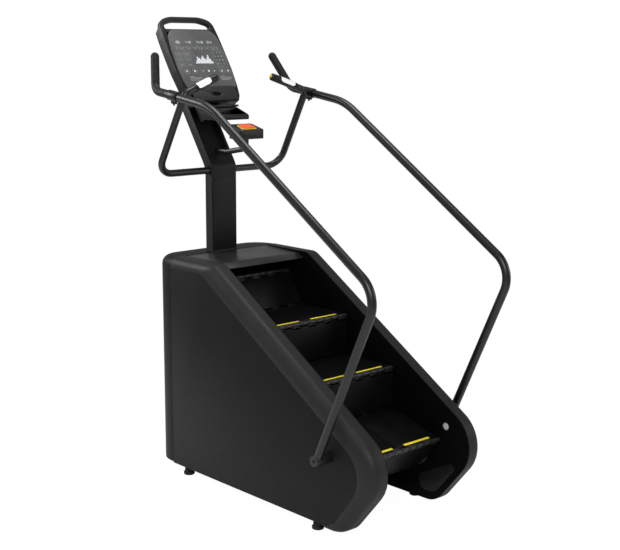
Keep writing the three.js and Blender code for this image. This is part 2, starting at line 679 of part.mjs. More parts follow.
// The stop switch stands on an arm in front of the mast.
function makeStop() {
  const route = [v3(-8, 62, 1573), v3(-4, -20, 1573), v3(4, -150, 1592), v3(4, -150, 1637 - GAP)];
  add('stop_arm', tube(route, [40, 38], 13, 12, 5), TUBE);
  const plan = roundedLoop(rect(-62, 66, -205, -108), 14, 4);
  const well = alongZ(circle(8, -156, 33, 24), 1676, 1700);
  add('stop_housing', cut(alongZ(plan, 1637, 1684), well), PLASTIC);
  add('stop_button', alongZ(circle(8, -156, 32.2, 24), 1681, 1692), RED);
}

makeSides();
makeFrame();
makeFeet();
makeCovers();
makeSteps();
makeDrive();
makeMast();
makeUFrame();
makeRails();
makeConsole();

export default machine;
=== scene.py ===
import math

import bmesh
import bpy
from bpy.props import FloatProperty, FloatVectorProperty, IntProperty, PointerProperty
from mathutils import Matrix, Vector


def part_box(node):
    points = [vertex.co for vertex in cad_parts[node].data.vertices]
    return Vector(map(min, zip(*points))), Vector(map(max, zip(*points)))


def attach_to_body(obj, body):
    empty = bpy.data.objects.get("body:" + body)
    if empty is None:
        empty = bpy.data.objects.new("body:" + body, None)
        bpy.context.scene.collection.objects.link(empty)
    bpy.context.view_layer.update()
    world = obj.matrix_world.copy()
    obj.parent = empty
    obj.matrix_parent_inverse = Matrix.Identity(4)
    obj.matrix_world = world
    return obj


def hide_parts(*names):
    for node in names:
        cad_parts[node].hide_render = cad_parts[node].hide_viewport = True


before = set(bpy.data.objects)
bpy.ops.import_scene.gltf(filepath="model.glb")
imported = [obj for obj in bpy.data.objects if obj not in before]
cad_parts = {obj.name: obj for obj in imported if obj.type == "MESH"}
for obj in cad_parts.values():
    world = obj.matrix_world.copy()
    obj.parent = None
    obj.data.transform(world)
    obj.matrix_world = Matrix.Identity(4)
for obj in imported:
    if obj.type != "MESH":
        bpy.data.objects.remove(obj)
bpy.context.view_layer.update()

bl_info = {
    "name": "Revolving Stairs Climber",
    "version": (1, 0, 0),
    "blender": (4, 5, 0),
    "location": "View3D > Sidebar > Climber",
    "description": "Finishes and fine detail for a revolving-stairs climber",
    "category": "Object",
}

# ---- measures shared by several pieces (millimetres) ------------------------
# Lengths along Y are counted from the rear seam of the side panels.
SEAM_Y = 538.0
# One step of the stairs, and the loop that carries them.
RUN = 309.9
RISE = 197.1
STEP_COUNT = 7
LOWER_R = 55.0
UPPER_R = 110.0
LOWER_SHAFT = Vector((-1075.1, 240.7))
FIRST_HINGE = -230.0
TREAD_X = 246.0
CHAIN_X = 251.6
PITCH = math.hypot(RUN, RISE)
SLOPE = Vector((-RUN, -RISE)).normalized()
OUT = Vector((SLOPE.y, -SLOPE.x))

MACHINE = "machine"
SIDES = (("left", -1), ("right", 1))


# ---- adjustable values ------------------------------------------------------
def colour(name, about, value):
    return FloatVectorProperty(
        name=name, description=about, default=value, size=3, min=0.0, max=1.0, subtype="COLOR"
    )


def length(name, about, value):
    return FloatProperty(name=name, description=about, default=value, min=0.0, unit="LENGTH")


class ClimberColours(bpy.types.PropertyGroup):
    coat: colour("Powder coat", "Side panels, covers and mast", (0.0034, 0.0034, 0.0036))
    trim: colour("Side trim", "Moulded trim along the side panels", (0.0120, 0.0108, 0.0104))
    tube: colour("Tubes", "Side rails and handlebar", (0.0052, 0.0052, 0.0055))
    # The walls' own dark paint, made darker still as painted shade for the inside of the base.
    wall: colour("Inner walls", "Sheets beside the steps", (0.0012, 0.0012, 0.0013))
    deck: colour("Deck", "Top cover ahead of the mast", (0.0150, 0.0150, 0.0156))
    # The treads' black plastic, made darker still as painted shade inside the base.
    step: colour("Treads", "Moulded treads", (0.0012, 0.0012, 0.0013))
    insert: colour("Tread inserts", "Bright strips at the step edge", (0.82, 0.68, 0.02))
    stop: colour("Stop button", "Mushroom of the stop switch", (0.86, 0.10, 0.015))
    ink: colour("Display print", "Print on the console overlay", (0.62, 0.64, 0.66))


class ClimberSizes(bpy.types.PropertyGroup):
    screw: length("Screw radius", "Head radius of the panel screws", 0.0045)
    rib_pitch: length("Rib pitch", "Distance between tread ribs", 0.0082)
    rib_height: length("Rib height", "Height of a tread rib", 0.0016)
    ring_pitch: length("Grip ring pitch", "Distance between grip rings", 0.0062)
    link_pitch: length("Link pitch", "Length of a chain link", 0.0159)
    knuckles: IntProperty(
        name="Knuckles", description="Hinge knuckles on a step", default=10, min=4, max=20
    )


# ---- shapes -----------------------------------------------------------------
SAME_POINT = 2e-5
FLAT_BELOW = math.radians(0.6)
BEVELLED_ABOVE = math.radians(34)
STRAIGHT_ENOUGH = 1e-4
DOME_RINGS = 6


def v3(x, y, z):
    """A point or a direction."""
    return Vector((x, y, z))


def from_node(node):
    """A CAD node's shape in millimetres, with its loose triangles joined into faces."""
    bm = bmesh.new()
    bm.from_mesh(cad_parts[node].data)
    bmesh.ops.remove_doubles(bm, verts=bm.verts, dist=SAME_POINT)
    bmesh.ops.dissolve_limit(bm, angle_limit=FLAT_BELOW, verts=bm.verts, edges=bm.edges)
    bm.transform(Matrix.Translation((0, -SEAM_Y, 0)) @ Matrix.Scale(1000, 4))
    return bm


def finish_piece(bm, name, looks, replaces=(), body=MACHINE,
                 bevel=0.0, segments=2, smooth=32):
    """Turns a shape in millimetres into a piece with its materials, riding on a body."""
    bmesh.ops.recalc_face_normals(bm, faces=bm.faces)
    bm.transform(Matrix.Scale(0.001, 4) @ Matrix.Translation((0, SEAM_Y, 0)))
    mesh = bpy.data.meshes.new(name)
    bm.to_mesh(mesh)
    bm.free()
    piece = bpy.data.objects.new(name, mesh)
    bpy.context.collection.objects.link(piece)
    if bevel:
        edge = piece.modifiers.new("Edges", "BEVEL")
        edge.width = bevel / 1000
        edge.segments = segments
        edge.limit_method = "ANGLE"
        edge.angle_limit = BEVELLED_ABOVE
        edge.use_clamp_overlap = True
    settle(piece)
    piece.data.shade_smooth()
    piece.data.set_sharp_from_angle(angle=math.radians(smooth))
    for look in [looks] if isinstance(looks, str) else looks:
        piece.data.materials.append(MATERIALS[look])
    attach(piece, replaces, body)


def settle(piece):
    """Replaces a piece's mesh by what its modifiers make of it."""
    if not piece.modifiers:
        return
    graph = bpy.context.evaluated_depsgraph_get()
    made = bpy.data.meshes.new_from_object(piece.evaluated_get(graph))
    piece.modifiers.clear()
    old = piece.data
    piece.data = made
    bpy.data.meshes.remove(old)
    made.name = piece.name


def attach(piece, replaces=(), body=MACHINE):
    """Puts the piece on its body and hides the CAD nodes it stands for."""
    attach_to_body(piece, body)
    if replaces:
        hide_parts(*replaces)


def dress(look, *nodes):
    """CAD nodes that keep their shape take a material."""
    for node in nodes:
        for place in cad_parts[node].material_slots:
            place.material = MATERIALS[look]


def prism(bm, outline, x0, x1, place=None, material=0):
    """A straight bar along X whose section is an outline in (y, z)."""
    near = [bm.verts.new((x0, y, z)) for y, z in outline]
    far = [bm.verts.new((x1, y, z)) for y, z in outline]
    close_bar(bm, near, far, place, material)


def upright(bm, outline, z0, z1, place=None, material=0):
    """A straight bar along Z whose section is an outline in (x, y)."""
    near = [bm.verts.new((x, y, z0)) for x, y in outline]
    far = [bm.verts.new((x, y, z1)) for x, y in outline]
    close_bar(bm, near, far, place, material)


def close_bar(bm, near, far, place, material):
    """Closes a bar between its two end outlines and puts it in place."""
    count = len(near)
    faces = [bm.faces.new(near[::-1]), bm.faces.new(far)]
    for i in range(count):
        j = (i + 1) % count
        faces.append(bm.faces.new((near[i], near[j], far[j], far[i])))
    for face in faces:
        face.material_index = material
    if place is not None:
        bmesh.ops.transform(bm, matrix=place, verts=near + far)


def block(bm, low, high, place=None, material=0):
    """A straight bar between two opposite corners."""
    (x0, y0, z0), (x1, y1, z1) = low, high
    prism(bm, [(y0, z0), (y1, z0), (y1, z1), (y0, z1)], x0, x1, place, material)


def disc_points(cx, cy, r, count=32, stretch=1.0):
    """Outline of a disc, or of an oval when stretched."""
    turns = [i * (2 * math.pi / count) for i in range(count)]
    return [(cx + r * math.cos(a), cy + r * stretch * math.sin(a)) for a in turns]


def round_box(half_x, half_y, r, cx=0.0, cy=0.0, steps=6):
    """Outline of a rectangle with round corners."""
    points = []
    for sx, sy, start in ((1, 1, 0), (-1, 1, 90), (-1, -1, 180), (1, -1, 270)):
        for i in range(steps + 1):
            a = math.radians(start + 90 * i / steps)
            x, y = cx + sx * (half_x - r), cy + sy * (half_y - r)
            points.append((x + r * math.cos(a), y + r * math.sin(a)))
    return points


def corner_arc(a, p, b, r, steps):
    """Points that round the corner at p between straight runs from a and to b."""
    into = (p - a).normalized()
    out = (b - p).normalized()
    half = math.acos(max(-1.0, min(1.0, into.dot(out)))) / 2
    if half < STRAIGHT_ENOUGH or r <= 0:
        return [p.copy()]
    inward = (out - into).normalized()
    along = (into + out).normalized()
    centre = p + inward * (r / math.cos(half))
    turns = [-half + 2 * half * i / steps for i in range(steps + 1)]
    return [centre - inward * (r * math.cos(t)) + along * (r * math.sin(t)) for t in turns]


def bent(points, radii, steps=12):
    """An open path with rounded corners."""
    path = [points[0].copy()]
    for i in range(1, len(points) - 1):
        path += corner_arc(points[i - 1], points[i], points[i + 1], radii[i - 1], steps)
    path.append(points[-1].copy())
    return path


def rounded_loop(points, radii, steps=8):
    """A closed outline with rounded corners."""
    points = [Vector(p) for p in points]
    count = len(points)
    loop = []
    for i, p in enumerate(points):
        r = radii[i] if isinstance(radii, (list, tuple)) else radii
        loop += corner_arc(points[i - 1], p, points[(i + 1) % count], r, steps)
    return loop


def sweep(bm, path, radius, sides=28, domed=(0.0, 0.0)):
    """A round tube along a path; domed gives how long each rounded end is."""
    stations = [(p, radius) for p in path]
    for end, size in enumerate(domed):
        if not size:
            continue
        tip, inner = (path[0], path[1]) if end == 0 else (path[-1], path[-2])
        back = (inner - tip).normalized()
        cap = []
        for i in range(DOME_RINGS):
            a = math.radians(90 * (i + 0.4) / (DOME_RINGS + 0.4))
            cap.append((tip + back * (size * (1 - math.cos(a))), radius * math.sin(a)))
        start = tip + back * size
        if end == 0:
            stations = cap + [(start, radius)] + stations[1:]
        else:
            stations = stations[:-1] + [(start, radius)] + cap[::-1]
    rings = []
    side = None
    for i, (p, r) in enumerate(stations):
        before = stations[max(0, i - 1)][0]
        after = stations[min(len(stations) - 1, i + 1)][0]
        heading = (after - before).normalized()
        if side is None:
            side = heading.orthogonal().normalized()
        side = (side - heading * side.dot(heading)).normalized()
        up = heading.cross(side)
        ring = []
        for k in range(sides):
            a = 2 * math.pi * k / sides
            ring.append(bm.verts.new(p + side * (r * math.cos(a)) + up * (r * math.sin(a))))
        rings.append(ring)
    skin(bm, rings)


def skin(bm, rings, material=0, closed=False):
    """Faces between rings of points, with both ends filled unless the rings meet."""
    count = len(rings[0])
    pairs = list(zip(rings, rings[1:]))
    if closed:
        pairs.append((rings[-1], rings[0]))
    for a, b in pairs:
        for k in range(count):
            j = (k + 1) % count
            bm.faces.new((a[k], a[j], b[j], b[k])).material_index = material
    if not closed:
        for end in (rings[0][::-1], rings[-1]):
            bm.faces.new(end).material_index = material


def lathe(bm, profile, place, sides=32, material=0):
    """A turned shape about +Z; the profile holds (radius, height) and its ends are on the axis."""
    rings = []
    for r, z in profile[1:-1]:
        rings.append([bm.verts.new(place @ v3(*p, z)) for p in disc_points(0, 0, r, sides)])
    for a, b in zip(rings, rings[1:]):
        for k in range(sides):
            j = (k + 1) % sides
            bm.faces.new((a[k], a[j], b[j], b[k])).material_index = material
    for ring, z in ((rings[0], profile[0][1]), (rings[-1], profile[-1][1])):
        tip = bm.verts.new(place @ v3(0, 0, z))
        for k in range(sides):
            bm.faces.new((ring[k], ring[(k + 1) % sides], tip)).material_index = material


def facing(origin, out, up=(0, 0, 1)):
    """A placement whose +Z points outward from the origin and +Y leans up."""
    out = Vector(out).normalized()
    up = Vector(up)
    up = (up - out * up.dot(out)).normalized()
    across = up.cross(out)
    turn = Matrix((across, up, out)).transposed().to_4x4()
    return Matrix.Translation(Vector(origin)) @ turn


# ---- materials --------------------------------------------------------------
def new_material(name):
    """A material that holds only its surface shader and output."""
    material = bpy.data.materials.new(name)
    material.use_nodes = True
    nodes = material.node_tree.nodes
    nodes.clear()
    output = nodes.new("ShaderNodeOutputMaterial")
    output.label = "Finished surface"
    shader = nodes.new("ShaderNodeBsdfPrincipled")
    shader.label = name.replace("_", " ").capitalize()
    material.node_tree.links.new(shader.outputs["BSDF"], output.inputs["Surface"])
    return material, nodes, material.node_tree.links, shader, output


def spread_out(groups):
    """Sets the nodes of each frame in a row, one row under another."""
    for row, group in enumerate(groups):
        for column, node in enumerate(group):
            node.location = (-1400 + 230 * column, 500 - 330 * row)


def powder_coat(name, base, roughness, grain=1100.0, relief=0.00006, scuff=0.5, metallic=0.0,
                shine=0.25, grain_highlight_share=0.22):
    """Baked paint with fine orange-peel, faint cloudiness, dry scuffs, and painted highlight and
    shade on its grain.
    """
    material, nodes, links, shader, output = new_material(name)
    shader.inputs["Metallic"].default_value = metallic
    shader.inputs["IOR"].default_value = 1.5
    shader.inputs["Specular IOR Level"].default_value = shine

    space = nodes.new("ShaderNodeTexCoord")
    space.label = "Place on the piece"
    cloud = nodes.new("ShaderNodeTexNoise")
    cloud.label = "Uneven spray"
    cloud.inputs["Scale"].default_value = 7.0
    cloud.inputs["Detail"].default_value = 4.0
    tone = nodes.new("ShaderNodeValToRGB")
    tone.label = "Coat colour, thin to thick"
    tone.color_ramp.elements[0].position = 0.3
    tone.color_ramp.elements[0].color = (*(0.82 * c for c in base), 1)
    tone.color_ramp.elements[1].position = 0.72
    tone.color_ramp.elements[1].color = (*(1.15 * c for c in base), 1)
    links.new(space.outputs["Object"], cloud.inputs["Vector"])
    links.new(cloud.outputs["Fac"], tone.inputs["Fac"])

    stretch = nodes.new("ShaderNodeMapping")
    stretch.label = "Scuffs run along the piece"
    stretch.inputs["Scale"].default_value = (30.0, 9.0, 46.0)
    rub = nodes.new("ShaderNodeTexNoise")
    rub.label = "Dry scuffs"
    rub.inputs["Scale"].default_value = 3.0
    rub.inputs["Detail"].default_value = 6.0
    rub.inputs["Roughness"].default_value = 0.7
    dull = nodes.new("ShaderNodeMapRange")
    dull.label = "Scuffs dull the coat"
    dull.inputs["From Min"].default_value = 0.35
    dull.inputs["From Max"].default_value = 0.8
    dull.inputs["To Min"].default_value = roughness - 0.06 * scuff
    dull.inputs["To Max"].default_value = roughness + 0.16 * scuff
    links.new(space.outputs["Object"], stretch.inputs["Vector"])
    links.new(stretch.outputs["Vector"], rub.inputs["Vector"])
    links.new(rub.outputs["Fac"], dull.inputs["Value"])
    links.new(dull.outputs["Result"], shader.inputs["Roughness"])

    peel = nodes.new("ShaderNodeTexNoise")
    peel.label = "Orange-peel grains"
    peel.inputs["Scale"].default_value = grain
    peel.inputs["Detail"].default_value = 2.0
    # Painted highlight and shade: the grain noise that raises the bumps also lightens the colour on
    # their tops and darkens it in the dips.
    painted_grain_highlight = nodes.new("ShaderNodeMix")
    painted_grain_highlight.data_type = "RGBA"
    painted_grain_highlight.blend_type = "MULTIPLY"
    painted_grain_highlight.label = "Grain tops catch light"
    painted_grain_highlight.inputs["Factor"].default_value = grain_highlight_share
    grain_light_shade_ramp = nodes.new("ShaderNodeValToRGB")
    grain_light_shade_ramp.label = "Grain light and dark"
    grain_light_shade_ramp.color_ramp.elements[0].position = 0.36
    grain_light_shade_ramp.color_ramp.elements[0].color = (0.55, 0.55, 0.55, 1)
    grain_light_shade_ramp.color_ramp.elements[1].position = 0.64
    grain_light_shade_ramp.color_ramp.elements[1].color = (1.35, 1.35, 1.35, 1)
    relief_node = nodes.new("ShaderNodeBump")
    relief_node.label = "Grain relief"
    relief_node.inputs["Distance"].default_value = relief
    relief_node.inputs["Strength"].default_value = 0.8
    links.new(space.outputs["Object"], peel.inputs["Vector"])
    links.new(peel.outputs["Fac"], grain_light_shade_ramp.inputs["Fac"])
    links.new(tone.outputs["Color"], painted_grain_highlight.inputs["A"])
    links.new(grain_light_shade_ramp.outputs["Color"], painted_grain_highlight.inputs["B"])
    links.new(painted_grain_highlight.outputs["Result"], shader.inputs["Base Color"])
    links.new(peel.outputs["Fac"], relief_node.inputs["Height"])
    links.new(relief_node.outputs["Normal"], shader.inputs["Normal"])

    groups = ([space, cloud, tone], [stretch, rub, dull], [peel, grain_light_shade_ramp, painted_grain_highlight, relief_node])
    titles = ("Uneven coat", "Scuffs", "Grain")
    spread_out([*groups, [shader, output]])
    for title, group in zip(titles, groups):
        area = nodes.new("NodeFrame")
        area.label = title
        for node in group:
            node.parent = area
    return material


def moulded(name, base, roughness, pebble=700.0, relief=0.0001, dust=0.25, shine=0.3):
    """Moulded plastic or rubber: pebbled skin, flow marks and a trace of dust in the low spots."""
    material, nodes, links, shader, output = new_material(name)
    shader.inputs["IOR"].default_value = 1.47
    shader.inputs["Specular IOR Level"].default_value = shine

    space = nodes.new("ShaderNodeTexCoord")
    space.label = "Place on the piece"
    flow = nodes.new("ShaderNodeTexNoise")
    flow.label = "Flow marks"
    flow.inputs["Scale"].default_value = 11.0
    flow.inputs["Detail"].default_value = 3.0
    flow.inputs["Distortion"].default_value = 0.6
    tone = nodes.new("ShaderNodeValToRGB")
    tone.label = "Plastic tone"
    tone.color_ramp.elements[0].position = 0.32
    tone.color_ramp.elements[0].color = (*(0.85 * c for c in base), 1)
    tone.color_ramp.elements[1].position = 0.7
    tone.color_ramp.elements[1].color = (*(1.12 * c for c in base), 1)
    gloss = nodes.new("ShaderNodeMapRange")
    gloss.label = "Gloss follows the flow"
    gloss.inputs["To Min"].default_value = roughness - 0.07
    gloss.inputs["To Max"].default_value = roughness + 0.1
    links.new(space.outputs["Object"], flow.inputs["Vector"])
    links.new(flow.outputs["Fac"], tone.inputs["Fac"])
    links.new(flow.outputs["Fac"], gloss.inputs["Value"])
    links.new(gloss.outputs["Result"], shader.inputs["Roughness"])

    cells = nodes.new("ShaderNodeTexVoronoi")
    cells.label = "Pebbled skin"
    cells.feature = "SMOOTH_F1"
    cells.inputs["Scale"].default_value = pebble
    relief_node = nodes.new("ShaderNodeBump")
    relief_node.label = "Pebble relief"
    relief_node.invert = True
    relief_node.inputs["Distance"].default_value = relief
    relief_node.inputs["Strength"].default_value = 0.7
    links.new(space.outputs["Object"], cells.inputs["Vector"])
    links.new(cells.outputs["Distance"], relief_node.inputs["Height"])
    links.new(relief_node.outputs["Normal"], shader.inputs["Normal"])

    lint = nodes.new("ShaderNodeTexNoise")
    lint.label = "Where dust gathers"
    lint.inputs["Scale"].default_value = 60.0
    lint.inputs["Detail"].default_value = 5.0
    amount = nodes.new("ShaderNodeMapRange")
    amount.label = "Only the thickest dust"
    amount.inputs["From Min"].default_value = 0.55
    amount.inputs["From Max"].default_value = 0.95
    amount.inputs["To Max"].default_value = 0.3 * dust
    dusty = nodes.new("ShaderNodeMix")
    dusty.data_type = "RGBA"
    dusty.label = "Dust over plastic"
    dusty.inputs["B"].default_value = (0.05, 0.048, 0.046, 1)
    links.new(space.outputs["Object"], lint.inputs["Vector"])
    links.new(lint.outputs["Fac"], amount.inputs["Value"])
    links.new(amount.outputs["Result"], dusty.inputs["Factor"])
    links.new(tone.outputs["Color"], dusty.inputs["A"])
    links.new(dusty.outputs["Result"], shader.inputs["Base Color"])

    groups = ([space, flow, tone, gloss], [cells, relief_node], [lint, amount, dusty])
    titles = ("Plastic tone and gloss", "Pebbled skin", "Dust")
    spread_out([*groups, [shader, output]])
    for title, group in zip(titles, groups):
        area = nodes.new("NodeFrame")
        area.label = title
        for node in group:
            node.parent = area
    return material


def machined(name, base, roughness, lay=(40.0, 40.0, 900.0), tarnish=0.25, metallic=1.0):
    """Bare metal with fine tool lines and light tarnish."""
    material, nodes, links, shader, output = new_material(name)
    shader.inputs["Metallic"].default_value = metallic

    space = nodes.new("ShaderNodeTexCoord")
    space.label = "Place on the piece"
    direction = nodes.new("ShaderNodeMapping")
    direction.label = "Direction of the tool lines"
    direction.inputs["Scale"].default_value = lay
    lines = nodes.new("ShaderNodeTexNoise")
    lines.label = "Tool lines"
    lines.inputs["Scale"].default_value = 1.0
    lines.inputs["Detail"].default_value = 3.0
    polish = nodes.new("ShaderNodeMapRange")
    polish.label = "Lines vary the polish"
    polish.inputs["To Min"].default_value = max(0.03, roughness - 0.08)
    polish.inputs["To Max"].default_value = roughness + 0.12
    groove = nodes.new("ShaderNodeBump")
    groove.label = "Line depth"
    groove.inputs["Distance"].default_value = 0.00003
    groove.inputs["Strength"].default_value = 0.5
    links.new(space.outputs["Object"], direction.inputs["Vector"])
    links.new(direction.outputs["Vector"], lines.inputs["Vector"])
    links.new(lines.outputs["Fac"], polish.inputs["Value"])
    links.new(polish.outputs["Result"], shader.inputs["Roughness"])
    links.new(lines.outputs["Fac"], groove.inputs["Height"])
    links.new(groove.outputs["Normal"], shader.inputs["Normal"])

    stain = nodes.new("ShaderNodeTexNoise")
    stain.label = "Tarnish patches"
    stain.inputs["Scale"].default_value = 35.0
    stain.inputs["Detail"].default_value = 4.0
    tone = nodes.new("ShaderNodeValToRGB")
    tone.label = "Tarnished to clean"
    tone.color_ramp.elements[0].position = 0.3
    tone.color_ramp.elements[0].color = (*((1 - tarnish) * c for c in base), 1)
    tone.color_ramp.elements[1].position = 0.55
    tone.color_ramp.elements[1].color = (*base, 1)
    links.new(space.outputs["Object"], stain.inputs["Vector"])
    links.new(stain.outputs["Fac"], tone.inputs["Fac"])
    links.new(tone.outputs["Color"], shader.inputs["Base Color"])

    groups = ([space, direction, lines, polish, groove], [stain, tone])
    spread_out([*groups, [shader, output]])
    for title, group in zip(("Tool lines", "Tarnish"), groups):
        area = nodes.new("NodeFrame")
        area.label = title
        for node in group:
            node.parent = area
    return material


def clear_gloss(name, base, roughness, coat=0.0):
    """Smooth coloured plastic or ink, with handling marks."""
    material, nodes, links, shader, output = new_material(name)
    shader.inputs["Coat Weight"].default_value = coat
    shader.inputs["Coat Roughness"].default_value = 0.08

    space = nodes.new("ShaderNodeTexCoord")
    space.label = "Place on the piece"
    touch = nodes.new("ShaderNodeTexNoise")
    touch.label = "Handling marks"
    touch.inputs["Scale"].default_value = 140.0
    touch.inputs["Detail"].default_value = 4.0
    polish = nodes.new("ShaderNodeMapRange")
    polish.label = "Marks dull the gloss"
    polish.inputs["To Min"].default_value = max(0.02, roughness - 0.05)
    polish.inputs["To Max"].default_value = roughness + 0.15
    fade = nodes.new("ShaderNodeValToRGB")
    fade.label = "Colour, worn to fresh"
    fade.color_ramp.elements[0].position = 0.25
    fade.color_ramp.elements[0].color = (*(0.86 * c for c in base), 1)
    fade.color_ramp.elements[1].position = 0.6
    fade.color_ramp.elements[1].color = (*base, 1)
    links.new(space.outputs["Object"], touch.inputs["Vector"])
    links.new(touch.outputs["Fac"], polish.inputs["Value"])
    links.new(touch.outputs["Fac"], fade.inputs["Fac"])
    links.new(polish.outputs["Result"], shader.inputs["Roughness"])
    links.new(fade.outputs["Color"], shader.inputs["Base Color"])

    group = [space, touch, polish, fade]
    spread_out([group, [shader, output]])
    area = nodes.new("NodeFrame")
    area.label = "Handling marks"
    for node in group:
        node.parent = area
    return material


MATERIALS = {}
# The mast takes the panels' coat made lighter: painted light for how light falls on its front.
MAST_PAINTED_LIGHT = 1.35
INK_DIMMED = 0.42


def make_materials():
    """One material for each finish of the machine."""
    tint = bpy.context.scene.climber_colours
    MATERIALS.update({
        "coat": powder_coat("textured_black_coat", tint.coat, 0.50, shine=0.18),
        "post": powder_coat("mast_coat_painted_light", [MAST_PAINTED_LIGHT * c for c in tint.coat], 0.50, shine=0.24),
        "tube": powder_coat("satin_tube_paint", tint.tube, 0.34, grain=500, relief=0.000002,
                            scuff=0.12, shine=0.42, grain_highlight_share=0.04),
        # Inner walls: dark paint darkened further as painted shade inside the base.
        "wall": powder_coat("inner_wall_paint_and_painted_shade", tint.wall, 0.5, shine=0.1),
        "frame": powder_coat("frame_paint", (0.012, 0.012, 0.013), 0.5, metallic=0.1),
        "trim": moulded("side_trim_plastic", tint.trim, 0.5, pebble=1300, relief=0.00003,
                        shine=0.28),
        "deck": moulded("deck_plastic", tint.deck, 0.3, pebble=1500, relief=0.00002, shine=0.36),
        # Treads: black plastic darkened further as painted shade inside the base.
        "tread": moulded("tread_plastic_and_painted_shade", tint.step, 0.42, dust=0.12, shine=0.16),
        "riser": moulded("riser_plastic", (0.0035, 0.0035, 0.0037), 0.4, dust=0.15, shine=0.16),
        # Hinge bead: black plastic made lighter grey as a painted highlight on the rounded
        # knuckles.
        "bead": moulded("hinge_bead_plastic_painted_highlight", (0.018, 0.018, 0.0185), 0.3, dust=0.2, shine=0.4),
        "black": moulded("black_housing_plastic", (0.0035, 0.0035, 0.0037), 0.36, shine=0.35),
        "console": moulded("console_plastic", (0.0046, 0.0046, 0.0048), 0.42, pebble=1600,
                           relief=0.00002, shine=0.32),
        "chin": moulded("console_chin_plastic", (0.022, 0.022, 0.0225), 0.42, pebble=1600,
                        relief=0.00002),
        "overlay": moulded("display_overlay", (0.085, 0.086, 0.087), 0.3, pebble=2500,
                           relief=0.00001, dust=0.05),
        "guard": moulded("lower_guard_plastic", (0.0075, 0.0075, 0.008), 0.36, shine=0.35),
        "rubber": moulded("grip_rubber", (0.0062, 0.0062, 0.0066), 0.6, pebble=420,
                          relief=0.0002, shine=0.35),
        "foot": moulded("foot_rubber", (0.012, 0.012, 0.012), 0.7, pebble=300, dust=0.8),
        "steel": machined("shaft_steel", (0.42, 0.42, 0.44), 0.34),
        "chain": machined("chain_steel", (0.20, 0.20, 0.21), 0.42, tarnish=0.5),
        "screw": machined("blackened_screw", (0.03, 0.03, 0.032), 0.4),
        "plate": machined("polished_contact_plate", (0.93, 0.93, 0.94), 0.22,
                          lay=(160.0, 30.0, 30.0), tarnish=0.02, metallic=0.25),
        "yellow": clear_gloss("yellow_insert", tint.insert, 0.38),
        "stop": clear_gloss("stop_button_red", tint.stop, 0.6),
        "ink": clear_gloss("overlay_ink", tint.ink, 0.45),
        "dim_ink": clear_gloss("overlay_ink_dim", [INK_DIMMED * c for c in tint.ink], 0.45),
        "lens": clear_gloss("sensor_lens", (0.42, 0.42, 0.42), 0.25, coat=0.3),
        "lamp": clear_gloss("red_lamp", (0.25, 0.02, 0.01), 0.2),
    })


# ---- node trees that repeat a small shape ------------------------------------
def new_tree(name, inputs):
    """A modifier tree with named inputs (name, socket type, default)."""
    tree = bpy.data.node_groups.new(name, "GeometryNodeTree")
    tree.interface.new_socket("Geometry", in_out="INPUT", socket_type="NodeSocketGeometry")
    for title, kind, value in inputs:
        socket = tree.interface.new_socket(title, in_out="INPUT", socket_type=kind)
        if value is not None:
            socket.default_value = value
    tree.interface.new_socket("Geometry", in_out="OUTPUT", socket_type="NodeSocketGeometry")
    return tree


def end_tree(tree, geometry, source):
    """Realizes the copies and gives them the material."""
    nodes, links = tree.nodes, tree.links
    real = nodes.new("GeometryNodeRealizeInstances")
    real.label = "Make the copies real"
    paint = nodes.new("GeometryNodeSetMaterial")
    paint.label = "Finish"
    output = nodes.new("NodeGroupOutput")
    links.new(geometry, real.inputs["Geometry"])
    links.new(real.outputs["Geometry"], paint.inputs["Geometry"])
    links.new(source.outputs["Material"], paint.inputs["Material"])
    links.new(paint.outputs["Geometry"], output.inputs["Geometry"])
    for column, node in enumerate(tree.nodes):
        node.location = (220 * (column % 7), -280 * (column // 7))
    return tree


def rib_tree():
    """A row of equal bars along X."""
    tree = new_tree("Row of bars", [
        ("Count", "NodeSocketInt", 10),
        ("Pitch", "NodeSocketFloat", 0.01),
        ("Start", "NodeSocketVector", None),
        ("Size", "NodeSocketVector", None),
        ("Material", "NodeSocketMaterial", None),
    ])
    nodes, links = tree.nodes, tree.links
    source = nodes.new("NodeGroupInput")
    step = nodes.new("ShaderNodeCombineXYZ")
    step.label = "One pitch along X"
    row = nodes.new("GeometryNodeMeshLine")
    row.label = "Places of the bars"
    bar = nodes.new("GeometryNodeMeshCube")
    bar.label = "One bar"
    copies = nodes.new("GeometryNodeInstanceOnPoints")
    copies.label = "A bar at each place"
    links.new(source.outputs["Pitch"], step.inputs["X"])
    links.new(source.outputs["Count"], row.inputs["Count"])
    links.new(source.outputs["Start"], row.inputs["Start Location"])
    links.new(step.outputs["Vector"], row.inputs["Offset"])
    links.new(source.outputs["Size"], bar.inputs["Size"])
    links.new(row.outputs["Mesh"], copies.inputs["Points"])
    links.new(bar.outputs["Mesh"], copies.inputs["Instance"])
    return end_tree(tree, copies.outputs["Instances"], source)


